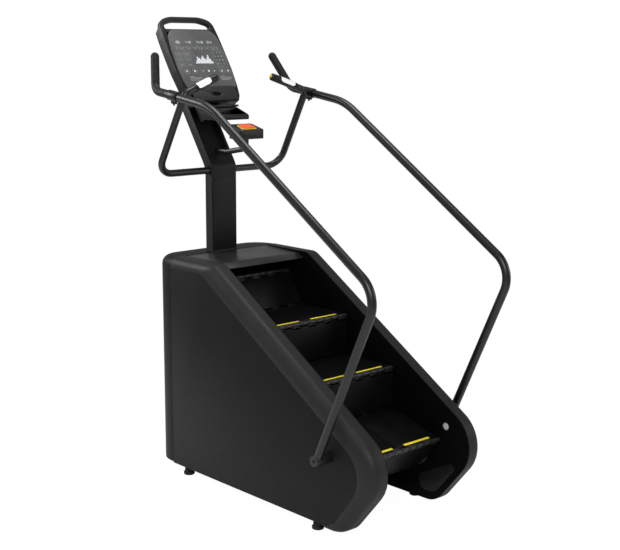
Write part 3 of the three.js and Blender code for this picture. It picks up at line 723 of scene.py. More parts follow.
def screw_tree():
    """A round screw head with a hexagon boss on each point, facing out along X."""
    tree = new_tree("Screws on points", [
        ("Radius", "NodeSocketFloat", 0.004),
        ("Height", "NodeSocketFloat", 0.002),
        ("Material", "NodeSocketMaterial", None),
    ])
    nodes, links = tree.nodes, tree.links
    source = nodes.new("NodeGroupInput")
    head = nodes.new("GeometryNodeMeshCylinder")
    head.label = "Head"
    head.inputs["Vertices"].default_value = 16
    half = nodes.new("ShaderNodeMath")
    half.operation = "MULTIPLY"
    half.label = "Boss is half as wide"
    half.inputs[1].default_value = 0.5
    boss = nodes.new("GeometryNodeMeshCone")
    boss.label = "Hexagon boss"
    boss.inputs["Vertices"].default_value = 6
    links.new(source.outputs["Radius"], half.inputs[0])
    links.new(half.outputs["Value"], boss.inputs["Radius Bottom"])
    links.new(half.outputs["Value"], boss.inputs["Radius Top"])
    links.new(source.outputs["Radius"], head.inputs["Radius"])
    links.new(source.outputs["Height"], head.inputs["Depth"])
    links.new(source.outputs["Height"], boss.inputs["Depth"])
    both = nodes.new("GeometryNodeJoinGeometry")
    both.label = "Whole screw"
    links.new(head.outputs["Mesh"], both.inputs["Geometry"])
    links.new(boss.outputs["Mesh"], both.inputs["Geometry"])
    copies = nodes.new("GeometryNodeInstanceOnPoints")
    copies.label = "A screw on each point"
    copies.inputs["Rotation"].default_value = (0, math.pi / 2, 0)
    links.new(source.outputs["Geometry"], copies.inputs["Points"])
    links.new(both.outputs["Geometry"], copies.inputs["Instance"])
    return end_tree(tree, copies.outputs["Instances"], source)


def path_tree(name, make_unit):
    """Copies of a unit at equal steps along a path, turned to follow it."""
    tree = new_tree(name, [
        ("Pitch", "NodeSocketFloat", 0.016),
        ("Radius", "NodeSocketFloat", 0.004),
        ("Material", "NodeSocketMaterial", None),
    ])
    nodes, links = tree.nodes, tree.links
    source = nodes.new("NodeGroupInput")
    curve = nodes.new("GeometryNodeMeshToCurve")
    curve.label = "Path"
    spots = nodes.new("GeometryNodeResampleCurve")
    spots.mode = "LENGTH"
    spots.label = "Equal steps"
    tangent = nodes.new("GeometryNodeInputTangent")
    tangent.label = "Heading of the path"
    turn = nodes.new("FunctionNodeAlignRotationToVector")
    turn.axis = "Z"
    turn.label = "Face along the path"
    copies = nodes.new("GeometryNodeInstanceOnPoints")
    copies.label = "A unit at each step"
    links.new(source.outputs["Geometry"], curve.inputs["Mesh"])
    links.new(curve.outputs["Curve"], spots.inputs["Curve"])
    links.new(source.outputs["Pitch"], spots.inputs["Length"])
    links.new(tangent.outputs["Tangent"], turn.inputs["Vector"])
    links.new(spots.outputs["Curve"], copies.inputs["Points"])
    links.new(turn.outputs["Rotation"], copies.inputs["Rotation"])
    links.new(make_unit(nodes, links, source), copies.inputs["Instance"])
    return end_tree(tree, copies.outputs["Instances"], source)


def ring_unit(nodes, links, source):
    """A thin ring about the path, for a grip."""
    loop = nodes.new("GeometryNodeCurvePrimitiveCircle")
    loop.label = "Round the grip"
    loop.inputs["Resolution"].default_value = 26
    bead = nodes.new("GeometryNodeCurvePrimitiveCircle")
    bead.label = "Section of the ring"
    bead.inputs["Resolution"].default_value = 6
    bead.inputs["Radius"].default_value = 0.0011
    ring = nodes.new("GeometryNodeCurveToMesh")
    ring.label = "Ring"
    links.new(source.outputs["Radius"], loop.inputs["Radius"])
    links.new(loop.outputs["Curve"], ring.inputs["Curve"])
    links.new(bead.outputs["Curve"], ring.inputs["Profile Curve"])
    return ring.outputs["Mesh"]


def link_unit(nodes, links, source):
    """A chain link: two side plates and the roller between them."""
    plate = nodes.new("GeometryNodeMeshCube")
    plate.label = "Side plate"
    plate.inputs["Size"].default_value = (0.001, 0.0075, 0.0138)
    pair = nodes.new("GeometryNodeMeshLine")
    pair.label = "Both plates"
    pair.inputs["Count"].default_value = 2
    pair.inputs["Start Location"].default_value = (-0.0022, 0, 0)
    pair.inputs["Offset"].default_value = (0.0044, 0, 0)
    plates = nodes.new("GeometryNodeInstanceOnPoints")
    plates.label = "Plates in place"
    roller = nodes.new("GeometryNodeMeshCylinder")
    roller.label = "Roller"
    roller.inputs["Vertices"].default_value = 10
    roller.inputs["Depth"].default_value = 0.0034
    across = nodes.new("GeometryNodeTransform")
    across.label = "Roller lies across the chain"
    across.inputs["Rotation"].default_value = (0, math.pi / 2, 0)
    link = nodes.new("GeometryNodeJoinGeometry")
    link.label = "Whole link"
    links.new(source.outputs["Radius"], roller.inputs["Radius"])
    links.new(pair.outputs["Mesh"], plates.inputs["Points"])
    links.new(plate.outputs["Mesh"], plates.inputs["Instance"])
    links.new(roller.outputs["Mesh"], across.inputs["Geometry"])
    links.new(plates.outputs["Instances"], link.inputs["Geometry"])
    links.new(across.outputs["Geometry"], link.inputs["Geometry"])
    return link.outputs["Geometry"]


def grow(name, tree, points, edges, values, place=None):
    """Runs a tree over points in metres and returns a plain mesh object."""
    mesh = bpy.data.meshes.new(name)
    mesh.from_pydata(points, edges, [])
    piece = bpy.data.objects.new(name, mesh)
    bpy.context.collection.objects.link(piece)
    modifier = piece.modifiers.new("Repeat", "NODES")
    modifier.node_group = tree
    for item in tree.interface.items_tree:
        if item.in_out == "INPUT" and item.name in values:
            modifier[item.identifier] = values[item.name]
    settle(piece)
    if place is not None:
        piece.data.transform(place)
    piece.data.shade_smooth()
    piece.data.set_sharp_from_angle(angle=math.radians(35))
    return piece


def metres(points):
    """Points in millimetres from the seam, as points of the frame in metres."""
    return [(x / 1000, (y + SEAM_Y) / 1000, z / 1000) for x, y, z in points]


# ---- outlines of the base, seen from the side --------------------------------
# Outer faces of the side panels, inner faces of the walls, the rear cover's top, and where the
# trims end under the steps.
PANEL_X = 350.0
WALL_X = 255.6
COVER_TOP = 1074
TRIM_END = -1089
PANEL_TOP, PANEL_LOW = 1026.5, 53
PANEL_CORNERS = (Vector((-246, PANEL_TOP)), Vector((-1353.8, 335.8)), Vector((-1136.8, PANEL_LOW)))
PANEL_RADII = (60, 136, 88)
INNER_TOP, INNER_LOW = 1076, 26
INNER_CORNERS = (Vector((-309, INNER_TOP)), Vector((-1462, 356.4)), Vector((-1187, INNER_LOW)))
INNER_RADII = (80, 165, 110)
TRIM_STEPS = (10, 22, 12)
# The trim's section: (x, share of the way from the panel's outline to the inner one). Its outside
# is a quarter of a superellipse, from the panel's face to the flat top.
TRIM_OUTER = [
    (302 + 49 * math.cos(math.radians(a)) ** 0.9, math.sin(math.radians(a)) ** 0.9)
    for a in range(0, 90, 5)
] + [(301, 1), (280, 1), (260, 1)]
TRIM_BACK = ((260, 0.93), (305, 0.93), (320, 0.88), (332, 0.77), (341, 0.58), (345, 0.34), (345, 0))


def side_outline(start_z, corners, radii, end_y, end_z):
    """A run of (y, z) points from the rear seam over the steps and back along the floor."""
    points = [Vector((0, start_z)), *corners, Vector((end_y, end_z))]
    path = [points[0]]
    for i, r in enumerate(radii):
        path += corner_arc(points[i], points[i + 1], points[i + 2], r, TRIM_STEPS[i])
    return [*path, points[-1]]


PANEL_LOOP = side_outline(PANEL_TOP, PANEL_CORNERS, PANEL_RADII, 0, PANEL_LOW)


def inset(points, d):
    """A closed outline moved inward."""
    moved = []
    for i, p in enumerate(points):
        a = (p - points[i - 1]).normalized()
        b = (points[(i + 1) % len(points)] - p).normalized()
        inward = Vector((-(a.y + b.y), a.x + b.x)).normalized()
        moved.append(p + inward * d)
    return moved


def smooth_run(points, times):
    """More points through a run of points, on a smooth curve."""
    made = []
    last = len(points) - 1
    for i in range(last):
        p0, p1, p2, p3 = (Vector(points[max(0, min(last, i + k))]) for k in (-1, 0, 1, 2))
        for j in range(times):
            t = j / times
            made.append(
                0.5 * (2 * p1 + (p2 - p0) * t + (2 * p0 - 5 * p1 + 4 * p2 - p3) * t * t
                       + (3 * p1 - p0 - 3 * p2 + p3) * t * t * t)
            )
    return [*made, Vector(points[-1])]


class CLIMBER_OT_covers(bpy.types.Operator):
    """Side panels, trims, walls, rear cover, deck, lower guards and step sensors"""

    bl_idname = "climber.covers"
    bl_label = "Covers"

    def execute(self, context):
        for side, s in SIDES:
            bm = bmesh.new()
            prism(bm, inset(PANEL_LOOP, 0.3), s * (PANEL_X - 2.8), s * PANEL_X)
            finish_piece(bm, f"panel_{side}", "coat", (f"side_panel_{side}",), bevel=1.1)
            self.trim(side, s)
            self.lower_guard(side, s)
            self.sensor(side, s)
            dress("wall", f"inner_wall_{side}")
        bm = from_node("rear_cover")
        finish_piece(bm, "rear_shroud", "coat", ("rear_cover",), smooth=42)
        self.deck()
        return {"FINISHED"}

    def trim(self, side, s):
        """Moulding between the panel's outline and the inner one, with a round shoulder."""
        low = side_outline(PANEL_TOP, PANEL_CORNERS, PANEL_RADII, TRIM_END, PANEL_LOW)
        high = side_outline(INNER_TOP, INNER_CORNERS, INNER_RADII, TRIM_END, INNER_LOW)
        section = TRIM_OUTER + smooth_run(TRIM_BACK, 2)
        bm = bmesh.new()
        rings = []
        for p, q in zip(low, high):
            places = [(x, p.lerp(q, share)) for x, share in section]
            rings.append([bm.verts.new((s * x, *at)) for x, at in places])
        skin(bm, rings)
        finish_piece(bm, f"edge_trim_{side}", "trim", (f"trim_{side}",), smooth=50)

    def deck(self):
        """Top cover with a soft fold towards the steps, and a thin dark sheet beside the mast
        painted as the shade in its slot.
        """
        top = bent([v3(-1, 1073, 0), v3(-240, 1066, 0), v3(-286, 1043, 0)], [34], 8)
        under = bent([v3(-283.5, 1039.5, 0), v3(-238.5, 1062, 0), v3(-1, 1069, 0)], [30], 8)
        bm = bmesh.new()
        prism(bm, [(p.x, p.y) for p in top + under], -255.5, 255.5)
        finish_piece(bm, "deck_top", "deck", ("deck_cover",), bevel=0.8)
        bm = bmesh.new()
        # Painted shade: a thin near-black sheet on the cover stands for the shadowed slot beside
        # the mast.
        slot = rounded_loop([(-228, 8), (-97, 8), (-97, 30), (-228, 30)], [10, 3, 3, 10], 6)
        upright(bm, slot, COVER_TOP, COVER_TOP + 0.5)
        finish_piece(bm, "deck_slot_painted_shade", "tread")

    def lower_guard(self, side, s):
        """A plate on the wall that follows its rounded front."""
        corners = [(-1372, 294), (-1185, 70), (-1090, 70), (-1090, 140), (-1290, 240)]
        outer = rounded_loop(corners, [18, 70, 33, 33, 60], 8)
        bm = bmesh.new()
        prism(bm, outer, s * (WALL_X - 2.2), s * (WALL_X - 0.2))
        finish_piece(bm, f"lower_guard_{side}", "guard", bevel=0.9)

    def sensor(self, side, s):
        """Round step sensor: a bezel on the wall with a domed lens."""
        place = facing((s * WALL_X, -1243, 399), (-s, 0, 0))
        bm = bmesh.new()
        bezel = [(0, 0), (20, 0), (20, 2), (18.2, 3.2), (16.6, 2.4), (16.6, 1), (0, 1)]
        lathe(bm, bezel, place, 36)
        finish_piece(bm, f"sensor_bezel_{side}", "black", smooth=25)
        bm = bmesh.new()
        dome = [(0, 0.4), (16.2, 0.4), (16.2, 1.6), (13, 2.7), (7, 3.3), (2, 3.5), (0, 3.5)]
        lathe(bm, dome, place, 36)
        finish_piece(bm, f"sensor_lens_{side}", "lens",
                     (f"step_sensor_{side}",), smooth=50)


SCREW_INSET = 17
SCREW_PITCH = 236.0


class CLIMBER_OT_screws(bpy.types.Operator):
    """Screws round the side panels"""

    bl_idname = "climber.screws"
    bl_label = "Panel screws"

    def execute(self, context):
        tree = screw_tree()
        edge = inset(PANEL_LOOP, SCREW_INSET)
        for side, s in SIDES:
            spots = [(s * (PANEL_X - 0.4), *p) for p in self.spaced(edge, SCREW_PITCH)]
            piece = grow(f"panel_screws_{side}", tree, metres(spots), [], {
                "Radius": context.scene.climber_sizes.screw,
                "Height": 0.0016,
                "Material": MATERIALS["screw"],
            })
            attach(piece)
        return {"FINISHED"}

    def spaced(self, loop, pitch):
        """Points at about equal steps round a closed outline."""
        total = sum((p - loop[i - 1]).length for i, p in enumerate(loop))
        step = total / round(total / pitch)
        spots = []
        ahead = step / 2
        for i, p in enumerate(loop):
            a = loop[i - 1]
            run = (p - a).length
            while ahead <= run:
                spots.append(a.lerp(p, ahead / run))
                ahead += step
            ahead -= run
        return spots


# ---- the belt of steps --------------------------------------------------------
def chain_size():
    """Whole length, free length between the sprockets, and lean of the runs from parallel."""
    belt = STEP_COUNT * PITCH
    more = UPPER_R - LOWER_R
    straight = belt / 2
    for _ in range(30):  # each round brings the lean and the free length closer together
        lean = math.asin(more / math.hypot(straight, more))
        straight = (belt - UPPER_R * (math.pi + 2 * lean) - LOWER_R * (math.pi - 2 * lean)) / 2
    return belt, straight, lean


BELT, STRAIGHT, LEAN = chain_size()
UPPER_SHAFT = LOWER_SHAFT - SLOPE * STRAIGHT + OUT * (LOWER_R - UPPER_R)


def on_rim(centre, r, a):
    """A point of a sprocket's rim; the angle counts from the lower run's side."""
    return centre + OUT * (r * math.cos(a)) + SLOPE * (r * math.sin(a))


def chain_point(u):
    """Place along the chain, counted from where it meets the lower sprocket."""
    low = math.pi - 2 * LEAN
    t = u % BELT
    if t < LOWER_R * low:
        return on_rim(LOWER_SHAFT, LOWER_R, t / LOWER_R)
    t -= LOWER_R * low
    if t < STRAIGHT:
        start = on_rim(LOWER_SHAFT, LOWER_R, low)
        return start.lerp(on_rim(UPPER_SHAFT, UPPER_R, low), t / STRAIGHT)
    t -= STRAIGHT
    high = math.pi + 2 * LEAN
    if t < UPPER_R * high:
        return on_rim(UPPER_SHAFT, UPPER_R, low + t / UPPER_R)
    return on_rim(UPPER_SHAFT, UPPER_R, 0) + SLOPE * (t - UPPER_R * high)


def step_points(i):
    """Heel hinge, foot hinge and nose hinge of a step, in (y, z)."""
    u = FIRST_HINGE + (i - 3) * PITCH
    rear, foot = chain_point(u), chain_point(u + PITCH)
    across = foot - rear
    c = across.length
    across.normalize()
    t = (RUN * RUN + c * c - RISE * RISE) / (2 * c)
    h = math.sqrt(RUN * RUN - t * t)
    return rear, foot, rear + across * t + Vector((across.y, -across.x)) * h


def step_place(hinge, nose):
    """Puts a plate made along -Y from the origin onto a step."""
    turn = math.atan2(-(nose.y - hinge.y), -(nose.x - hinge.x))
    return Matrix.Translation((0, hinge.x, hinge.y)) @ Matrix.Rotation(turn, 4, "X")


KNUCKLE_ROOM = 0.9


def knuckles(bm, y, count, odd, place, r, lug, material):
    """Every other knuckle of a hinge, each with a web back to its plate."""
    wide = 2 * TREAD_X / count
    low, high, reach = lug
    for k in range(count):
        if k % 2 != odd:
            continue
        x0, x1 = -TREAD_X + k * wide + KNUCKLE_ROOM, -TREAD_X + (k + 1) * wide - KNUCKLE_ROOM
        prism(bm, disc_points(y, 0, r, 20), x0, x1, place, material)
        ends = sorted((y, y + reach))
        block(bm, (x0, ends[0], low), (x1, ends[1], high), place, material)


# Room between a board and the centres of the hinges at its two ends.
NOSE_GAP, HEEL_GAP = 12.6, 13.6


class CLIMBER_OT_steps(bpy.types.Operator):
    """Treads with ribs and bright inserts, and the risers between them"""

    bl_idname = "climber.steps"
    bl_label = "Steps"

    def execute(self, context):
        sizes = context.scene.climber_sizes
        tree = rib_tree()
        for i in range(STEP_COUNT):
            rear, foot, nose = step_points(i)
            self.tread(i, step_place(rear, nose), sizes, tree)
            self.riser(i, step_place(foot, nose), sizes)
        return {"FINISHED"}

    def tread(self, i, place, sizes, tree):
        """Two boards side by side with lips, webs below, bright inserts and knuckles."""
        body = f"tread_{i}"
        bm = bmesh.new()
        front, back = -RUN + NOSE_GAP, -HEEL_GAP
        for x0, x1 in ((-TREAD_X, -0.8), (0.8, TREAD_X)):
            block(bm, (x0, front, 0.6), (x1, back, 7.4), place)
            block(bm, (x0, front, 7.3), (x1, front + 3, 9.0), place)
            block(bm, (x0, back - 8, 7.3), (x1, back, 8.6), place)
        for x in (-150, 0, 150):
            block(bm, (x - 3, front + 30, -9), (x + 3, back - 30, 0.7), place)
        for s in (-1, 1):
            x0, x1 = sorted((s * 37.7, s * 198.9))
            bar = ((3, 7.2), (17, 7.2), (16, 9.6), (5, 10.2), (3, 9.4))
            prism(bm, [(front + y, z) for y, z in bar], x0, x1, place, 1)
        knuckles(bm, -RUN, sizes.knuckles, 0, place, 10, (0.6, 9, 22), 2)
        knuckles(bm, 0, sizes.knuckles, 1, place, 9.6, (0.6, 8, -20), 0)
        finish_piece(bm, f"tread_board_{i}", ("tread", "yellow", "bead"), (body,), body,
                     bevel=0.9, smooth=40)
        self.ribs(i, body, place, sizes, tree)

    def ribs(self, i, body, place, sizes, tree):
        """Fine ribs along the tread, between the bright inserts and the heel's lip."""
        near, far = -RUN + NOSE_GAP + 22, -HEEL_GAP - 8
        pitch = sizes.rib_pitch
        count = int((2 * TREAD_X - 8) / (pitch * 1000))
        level = 0.0073 + sizes.rib_height / 2
        seam = Matrix.Translation((0, SEAM_Y / 1000, 0))
        move = seam @ Matrix.Translation(place.translation / 1000)
        piece = grow(f"tread_ribs_{i}", tree, [(0, 0, 0)], [], {
            "Count": count,
            "Pitch": pitch,
            "Start": (-(count - 1) * pitch / 2, (near + far) / 2000, level),
            "Size": (pitch * 0.45, (far - near) / 1000, sizes.rib_height),
            "Material": MATERIALS["riser"],
        }, move @ place.to_3x3().to_4x4())
        attach(piece, body=body)

    def riser(self, i, place, sizes):
        """A thin board with a raised rim and two stiffeners, and its knuckles."""
        body = f"riser_{i}"
        bm = bmesh.new()
        front, back = -RISE + NOSE_GAP, -HEEL_GAP
        block(bm, (-TREAD_X, front, -6.8), (TREAD_X, back, -3.0), place)
        for y in (front, back - 9):
            block(bm, (-TREAD_X, y, -3.1), (TREAD_X, y + 9, -0.6), place)
        for x in (-TREAD_X, -90, 81, TREAD_X - 9):
            block(bm, (x, front, -3.1), (x + 9, back, -0.6), place)
        knuckles(bm, -RISE, sizes.knuckles, 1, place, 10, (-6.8, -0.6, 22), 1)
        knuckles(bm, 0, sizes.knuckles, 0, place, 9.6, (-6.8, -0.6, -20), 0)
        finish_piece(bm, f"riser_board_{i}", ("riser", "bead"), (body,), body,
                     bevel=0.8, smooth=40)


CHAIN_POINTS = 320
FRAME_LOW = 48.0


class CLIMBER_OT_drive(bpy.types.Operator):
    """Chains, shafts, drive belt, brake and the welded frame"""

    bl_idname = "climber.drive"
    bl_label = "Drive and frame"

    def execute(self, context):
        sizes = context.scene.climber_sizes
        tree = path_tree("Chain links", link_unit)
        for side, s in SIDES:
            self.chain(side, s, sizes, tree)
            self.raised(f"frame_side_{side}", f"side_frame_{side}")
            bm = bmesh.new()
            block(bm, (s * 343, -1086, 47), (s * (PANEL_X - 0.3), -1, PANEL_LOW - 0.3))
            finish_piece(bm, f"bottom_lip_{side}", "trim", bevel=1.0)
            for end in ("front", "rear"):
                self.foot(f"foot_{end}_{side}")
        dress("steel", "shaft_lower", "shaft_upper", "brake_pulley")
        dress("frame", "loop_tube", "brake_generator")
        self.raised("base_frame", "cross_frame")
        dress("rubber", "drive_belt")
        self.inlet()
        return {"FINISHED"}

    def chain(self, side, s, sizes, tree):
        """A closed loop of links round both sprockets."""
        places = [BELT * k / CHAIN_POINTS for k in range(CHAIN_POINTS)]
        ring = [(s * CHAIN_X, *chain_point(u)) for u in places]
        edges = [(k, (k + 1) % CHAIN_POINTS) for k in range(CHAIN_POINTS)]
        piece = grow(f"step_chain_{side}", tree, metres(ring), edges, {
            "Pitch": sizes.link_pitch,
            "Radius": 0.0034,
            "Material": MATERIALS["chain"],
        })
        attach(piece, (f"chain_{side}",))

    def raised(self, node, name):
        """A frame whose lower edge is tucked up behind the covers."""
        bm = from_node(node)
        for corner in bm.verts:
            corner.co.z = max(corner.co.z, FRAME_LOW)
        finish_piece(bm, name, "frame", (node,), bevel=0.8)

    def foot(self, node):
        """Levelling foot: rubber pad, threaded stem and lock nut."""
        low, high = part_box(node)
        x, y = (low.x + high.x) * 500, (low.y + high.y) * 500 - SEAM_Y
        place = Matrix.Translation((x, y, 0))
        bm = bmesh.new()
        pad = [(0, 0), (23, 0), (26.6, 2.6), (26.8, 13), (25, 15.6)]
        pad += [(21.4, 17), (21, 31), (19, 33), (0, 33)]
        lathe(bm, pad, place, 36)
        finish_piece(bm, f"{node}_pad", "foot", (node,), smooth=40)
        bm = bmesh.new()
        upright(bm, disc_points(0, 0, 8.8, 20), 32, 50, place)
        upright(bm, disc_points(0, 0, 14.5, 6), 36, 43, place)
        finish_piece(bm, f"{node}_nut", "screw", bevel=0.7, smooth=30)

    def inlet(self):
        """Power inlet at the rear, with its three pins."""
        bm = from_node("power_inlet")
        finish_piece(bm, "inlet_socket", "black", ("power_inlet",), bevel=1.0)
        bm = bmesh.new()
        for x, z in ((-120, 117), (-131, 107), (-109, 107)):
            block(bm, (x - 1.2, 150.4, z - 3), (x + 1.2, 162, z + 3))
        finish_piece(bm, "inlet_pins", "plate", bevel=0.4)


# ---- mast, handlebar and rails ------------------------------------------------
# Tube radii, and the corners of the tubes' centre lines on the right side.
GRIP_R = 17.0
RAIL_R = 19.0
HORN_R = 19.4
HORN_TIP = 19
U_CORNER = v3(381, 40.8, 1474)
GRIP_BEND = v3(372, -170, 1858)
GRIP_END = v3(192, -149, 1921)
RAIL_TOP = v3(417, -100, 1855.5)
RAIL_SHOULDER = v3(415, -408, 1809.5)
RAIL_NOSE = v3(416, -1462.6, 1121.1)
RAIL_FOOT = v3(416, -1116, 361)
HORN_START = v3(417, -99.4, 1855.5)
HORN_BEND = v3(418, -8, 1868)
HORN_TOP = v3(362, 72, 2025)


def mirror(s, *points):
    """The points of one side: as given for the right, mirrored for the left."""
    return [v3(s * p.x, p.y, p.z) for p in points]


def grip_place(s):
    """Placement at a grip's end, +Z out of the tube and +Y towards its top."""
    end, bend = mirror(s, GRIP_END, GRIP_BEND)
    return facing(end, end - bend, (0, -0.35, 1))


class CLIMBER_OT_mast(bpy.types.Operator):
    """Mast with its foot plate, bolts and front cover"""

    bl_idname = "climber.mast"
    bl_label = "Mast"

    def execute(self, context):
        bm = from_node("mast")
        finish_piece(bm, "mast_post", "post", ("mast",), bevel=2.2, segments=3)
        bm = bmesh.new()
        corners = [(-72, 1078), (72, 1078), (72, 1440), (-72, 1440)]
        outline = rounded_loop(corners, [4, 4, 46, 46], 10)
        place = Matrix(((1, 0, 0, 0), (0, 0, 1, 0), (0, 1, 0, 0), (0, 0, 0, 1)))
        upright(bm, outline, 14.4, 16.9, place)
        finish_piece(bm, "mast_lower_cover", "post", ("mast_front_cover",), bevel=0.9)
        self.foot_bolts()
        return {"FINISHED"}

    def foot_bolts(self):
        """Hexagon bolts with washers on the foot plate."""
        bm = bmesh.new()
        for x in (-86, 86):
            for y in (32, 96):
                place = Matrix.Translation((x, y, 1063))
                upright(bm, disc_points(0, 0, 7.6, 24), 0.1, 1.5, place)
                upright(bm, disc_points(0, 0, 5.6, 6), 1.5, 6.4, place)
        finish_piece(bm, "mast_foot_bolts", "screw", bevel=0.5)


class CLIMBER_OT_handlebar(bpy.types.Operator):
    """Bent handlebar with pulse plates and thumb buttons"""

    bl_idname = "climber.handlebar"
    bl_label = "Handlebar"

    def execute(self, context):
        right = [U_CORNER, GRIP_BEND, GRIP_END]
        path = bent(mirror(-1, *reversed(right)) + right, [34, 80, 80, 34], 14)
        bm = bmesh.new()
        sweep(bm, path, GRIP_R, 32)
        finish_piece(bm, "handlebar_tube", "tube", ("u_frame",), smooth=45)
        for side, s in SIDES:
            self.grip(side, s)
            self.plate(side, s)
            self.button(side, s)
        return {"FINISHED"}

    def grip(self, side, s):
        """Sleeve under the contact plate, closed by the end cap."""
        place = grip_place(s)
        bm = bmesh.new()
        sleeve = [(0, -132), (17.2, -132), (18.5, -129.5), (18.6, -8), (18.5, 15)]
        sleeve += [(17.6, 21), (14.6, 25.4), (11.2, 27), (9.6, 26.6), (9.5, 20.4), (0, 20.4)]
        lathe(bm, sleeve, place, 40)
        finish_piece(bm, f"grip_cap_{side}", "black", smooth=40)

    def plate(self, side, s):
        """Silver contact plate with rounded ends, wrapped on the sleeve's upper side."""
        bm = bmesh.new()
        end, bend = mirror(s, GRIP_END, GRIP_BEND)
        place = facing(end, end - bend, (0, -0.95, 1))
        rows = []
        for k in range(21):
            t = k / 20
            z = -112 + 86 * t
            near = min(1.0, math.sqrt(max(0.0, min(t, 1 - t)) / 0.16))
            spread = math.radians(34 + 30 * near)
            ring = []
            for r, flip in ((19.6 - 0.4 * (1 - near), 1), (18.0, -1)):
                for j in range(13):
                    a = flip * (-spread + 2 * spread * j / 12)
                    ring.append(bm.verts.new(place @ v3(-r * math.sin(a), r * math.cos(a), z)))
            rows.append(ring)
        skin(bm, rows)
        finish_piece(bm, f"contact_plate_{side}", "plate",
                     (f"pulse_plate_{side}",), smooth=50)

    def button(self, side, s):
        """Thumb button: a bright cap on a black stem, with a dark wedge on its face."""
        body = f"speed_button_{side}"
        place = grip_place(s)
        bm = bmesh.new()
        lathe(bm, [(0, 23.6), (8.7, 23.6), (8.7, 29), (7.6, 30.3), (5, 30.6), (0, 30.6)], place, 28)
        lathe(bm, [(0, 27.6), (8.95, 27.6), (8.95, 29.6), (7.4, 31), (0, 31.2)], place, 28, 1)
        upright(bm, [(-s * 1.5, 0), (s * 7.6, -4.6), (s * 7.6, 4.6)], 30.6, 31.7, place)
        finish_piece(bm, f"thumb_button_{side}", ("black", "yellow"), (body,), body,
                     smooth=35)


class CLIMBER_OT_rails(bpy.types.Operator):
    """Long side rails, upright hand grips with rings, and split clamps"""

    bl_idname = "climber.rails"
    bl_label = "Side rails"

    def execute(self, context):
        rings = path_tree("Grip rings", ring_unit)
        for side, s in SIDES:
            bm = bmesh.new()
            rail = bent(mirror(s, RAIL_TOP, RAIL_SHOULDER, RAIL_NOSE, RAIL_FOOT), [330, 125], 20)
            sweep(bm, rail, RAIL_R, 36)
            finish_piece(bm, f"rail_tube_{side}", "tube",
                         (f"side_rail_{side}",), smooth=45)
            self.boss(side, s)
            self.horn(side, s, rings, context.scene.climber_sizes)
            self.clamp(side)
        return {"FINISHED"}

    def boss(self, side, s):
        """Turned foot that bolts the rail to the side panel."""
        place = facing((s * 350.3, RAIL_FOOT.y, RAIL_FOOT.z), (s, 0, 0))
        bm = bmesh.new()
        flange = [(0, 0), (24, 0), (24, 84), (22.6, 86.2), (0, 86.2)]
        lathe(bm, flange, place, 40)
        finish_piece(bm, f"rail_boss_{side}", "tube", smooth=35)
        bm = bmesh.new()
        upright(bm, disc_points(0, 0, 9, 6), 86, 88.4, place)
        finish_piece(bm, f"rail_bolt_{side}", "screw", bevel=0.6)

    def horn(self, side, s, tree, sizes):
        """Upright grip with a rounded tip, and the rings along its upper run."""
        path = bent(mirror(s, HORN_START, HORN_BEND, HORN_TOP), [62], 14)
        tip = path[-1] + (path[-1] - path[-2]).normalized() * HORN_TIP
        bm = bmesh.new()
        sweep(bm, [*path, tip], HORN_R, 36, domed=(0, HORN_TIP))
        finish_piece(bm, f"grip_sleeve_{side}", "rubber",
                     (f"horn_grip_{side}",), smooth=50)
        upper = [path[-2].lerp(path[-1], k / 12) for k in range(13)]
        edges = [(k, k + 1) for k in range(12)]
        piece = grow(f"grip_rings_{side}", tree, metres(upper), edges, {
            "Pitch": sizes.ring_pitch,
            "Radius": HORN_R / 1000,
            "Material": MATERIALS["rubber"],
        })
        attach(piece)

    def clamp(self, side):
        """Coupler that joins the rail, the grip and the handlebar."""
        bm = from_node(f"rail_clamp_{side}")
        finish_piece(bm, f"clamp_{side}", "black", (f"rail_clamp_{side}",),
                     bevel=1.2, smooth=40)


# ---- console, tray and stop switch ---------------------------------------------
# The console's own axes: X across, Y up its face and Z out of it.
HEAD = Matrix.Translation((0, 95, 1872)) @ Matrix.Rotation(math.radians(57.07), 4, "X")


def both_halves(half):
    """A symmetric outline from its right half, bottom to top."""
    return list(half) + [(-x, y) for x, y in reversed(half)]


def carve(bm, cutters):
    """Takes the cutters out of a shape."""
    made = []
    for shape in (bm, *cutters):
        bmesh.ops.recalc_face_normals(shape, faces=shape.faces)
        mesh = bpy.data.meshes.new("carving")
        shape.to_mesh(mesh)
        shape.free()
        made.append(bpy.data.objects.new("carving", mesh))
        bpy.context.collection.objects.link(made[-1])
    for tool in made[1:]:
        cut = made[0].modifiers.new("Carve", "BOOLEAN")
        cut.object = tool
        cut.solver = "EXACT"
    settle(made[0])
    result = bmesh.new()
    result.from_mesh(made[0].data)
    for each in made:
        bpy.data.objects.remove(each)
    return result


# Print on the overlay: its level on the console, its two inks, and which of the seven bars of each
# digit are lit, from the top down.
PRINT_Z = -1.75
BRIGHT, FAINT = 0, 1
SEVEN_BARS = (
    "1110111", "0010010", "1011101", "1011011", "0111010",
    "1101011", "1101111", "1010010", "1111111", "1111011",
)


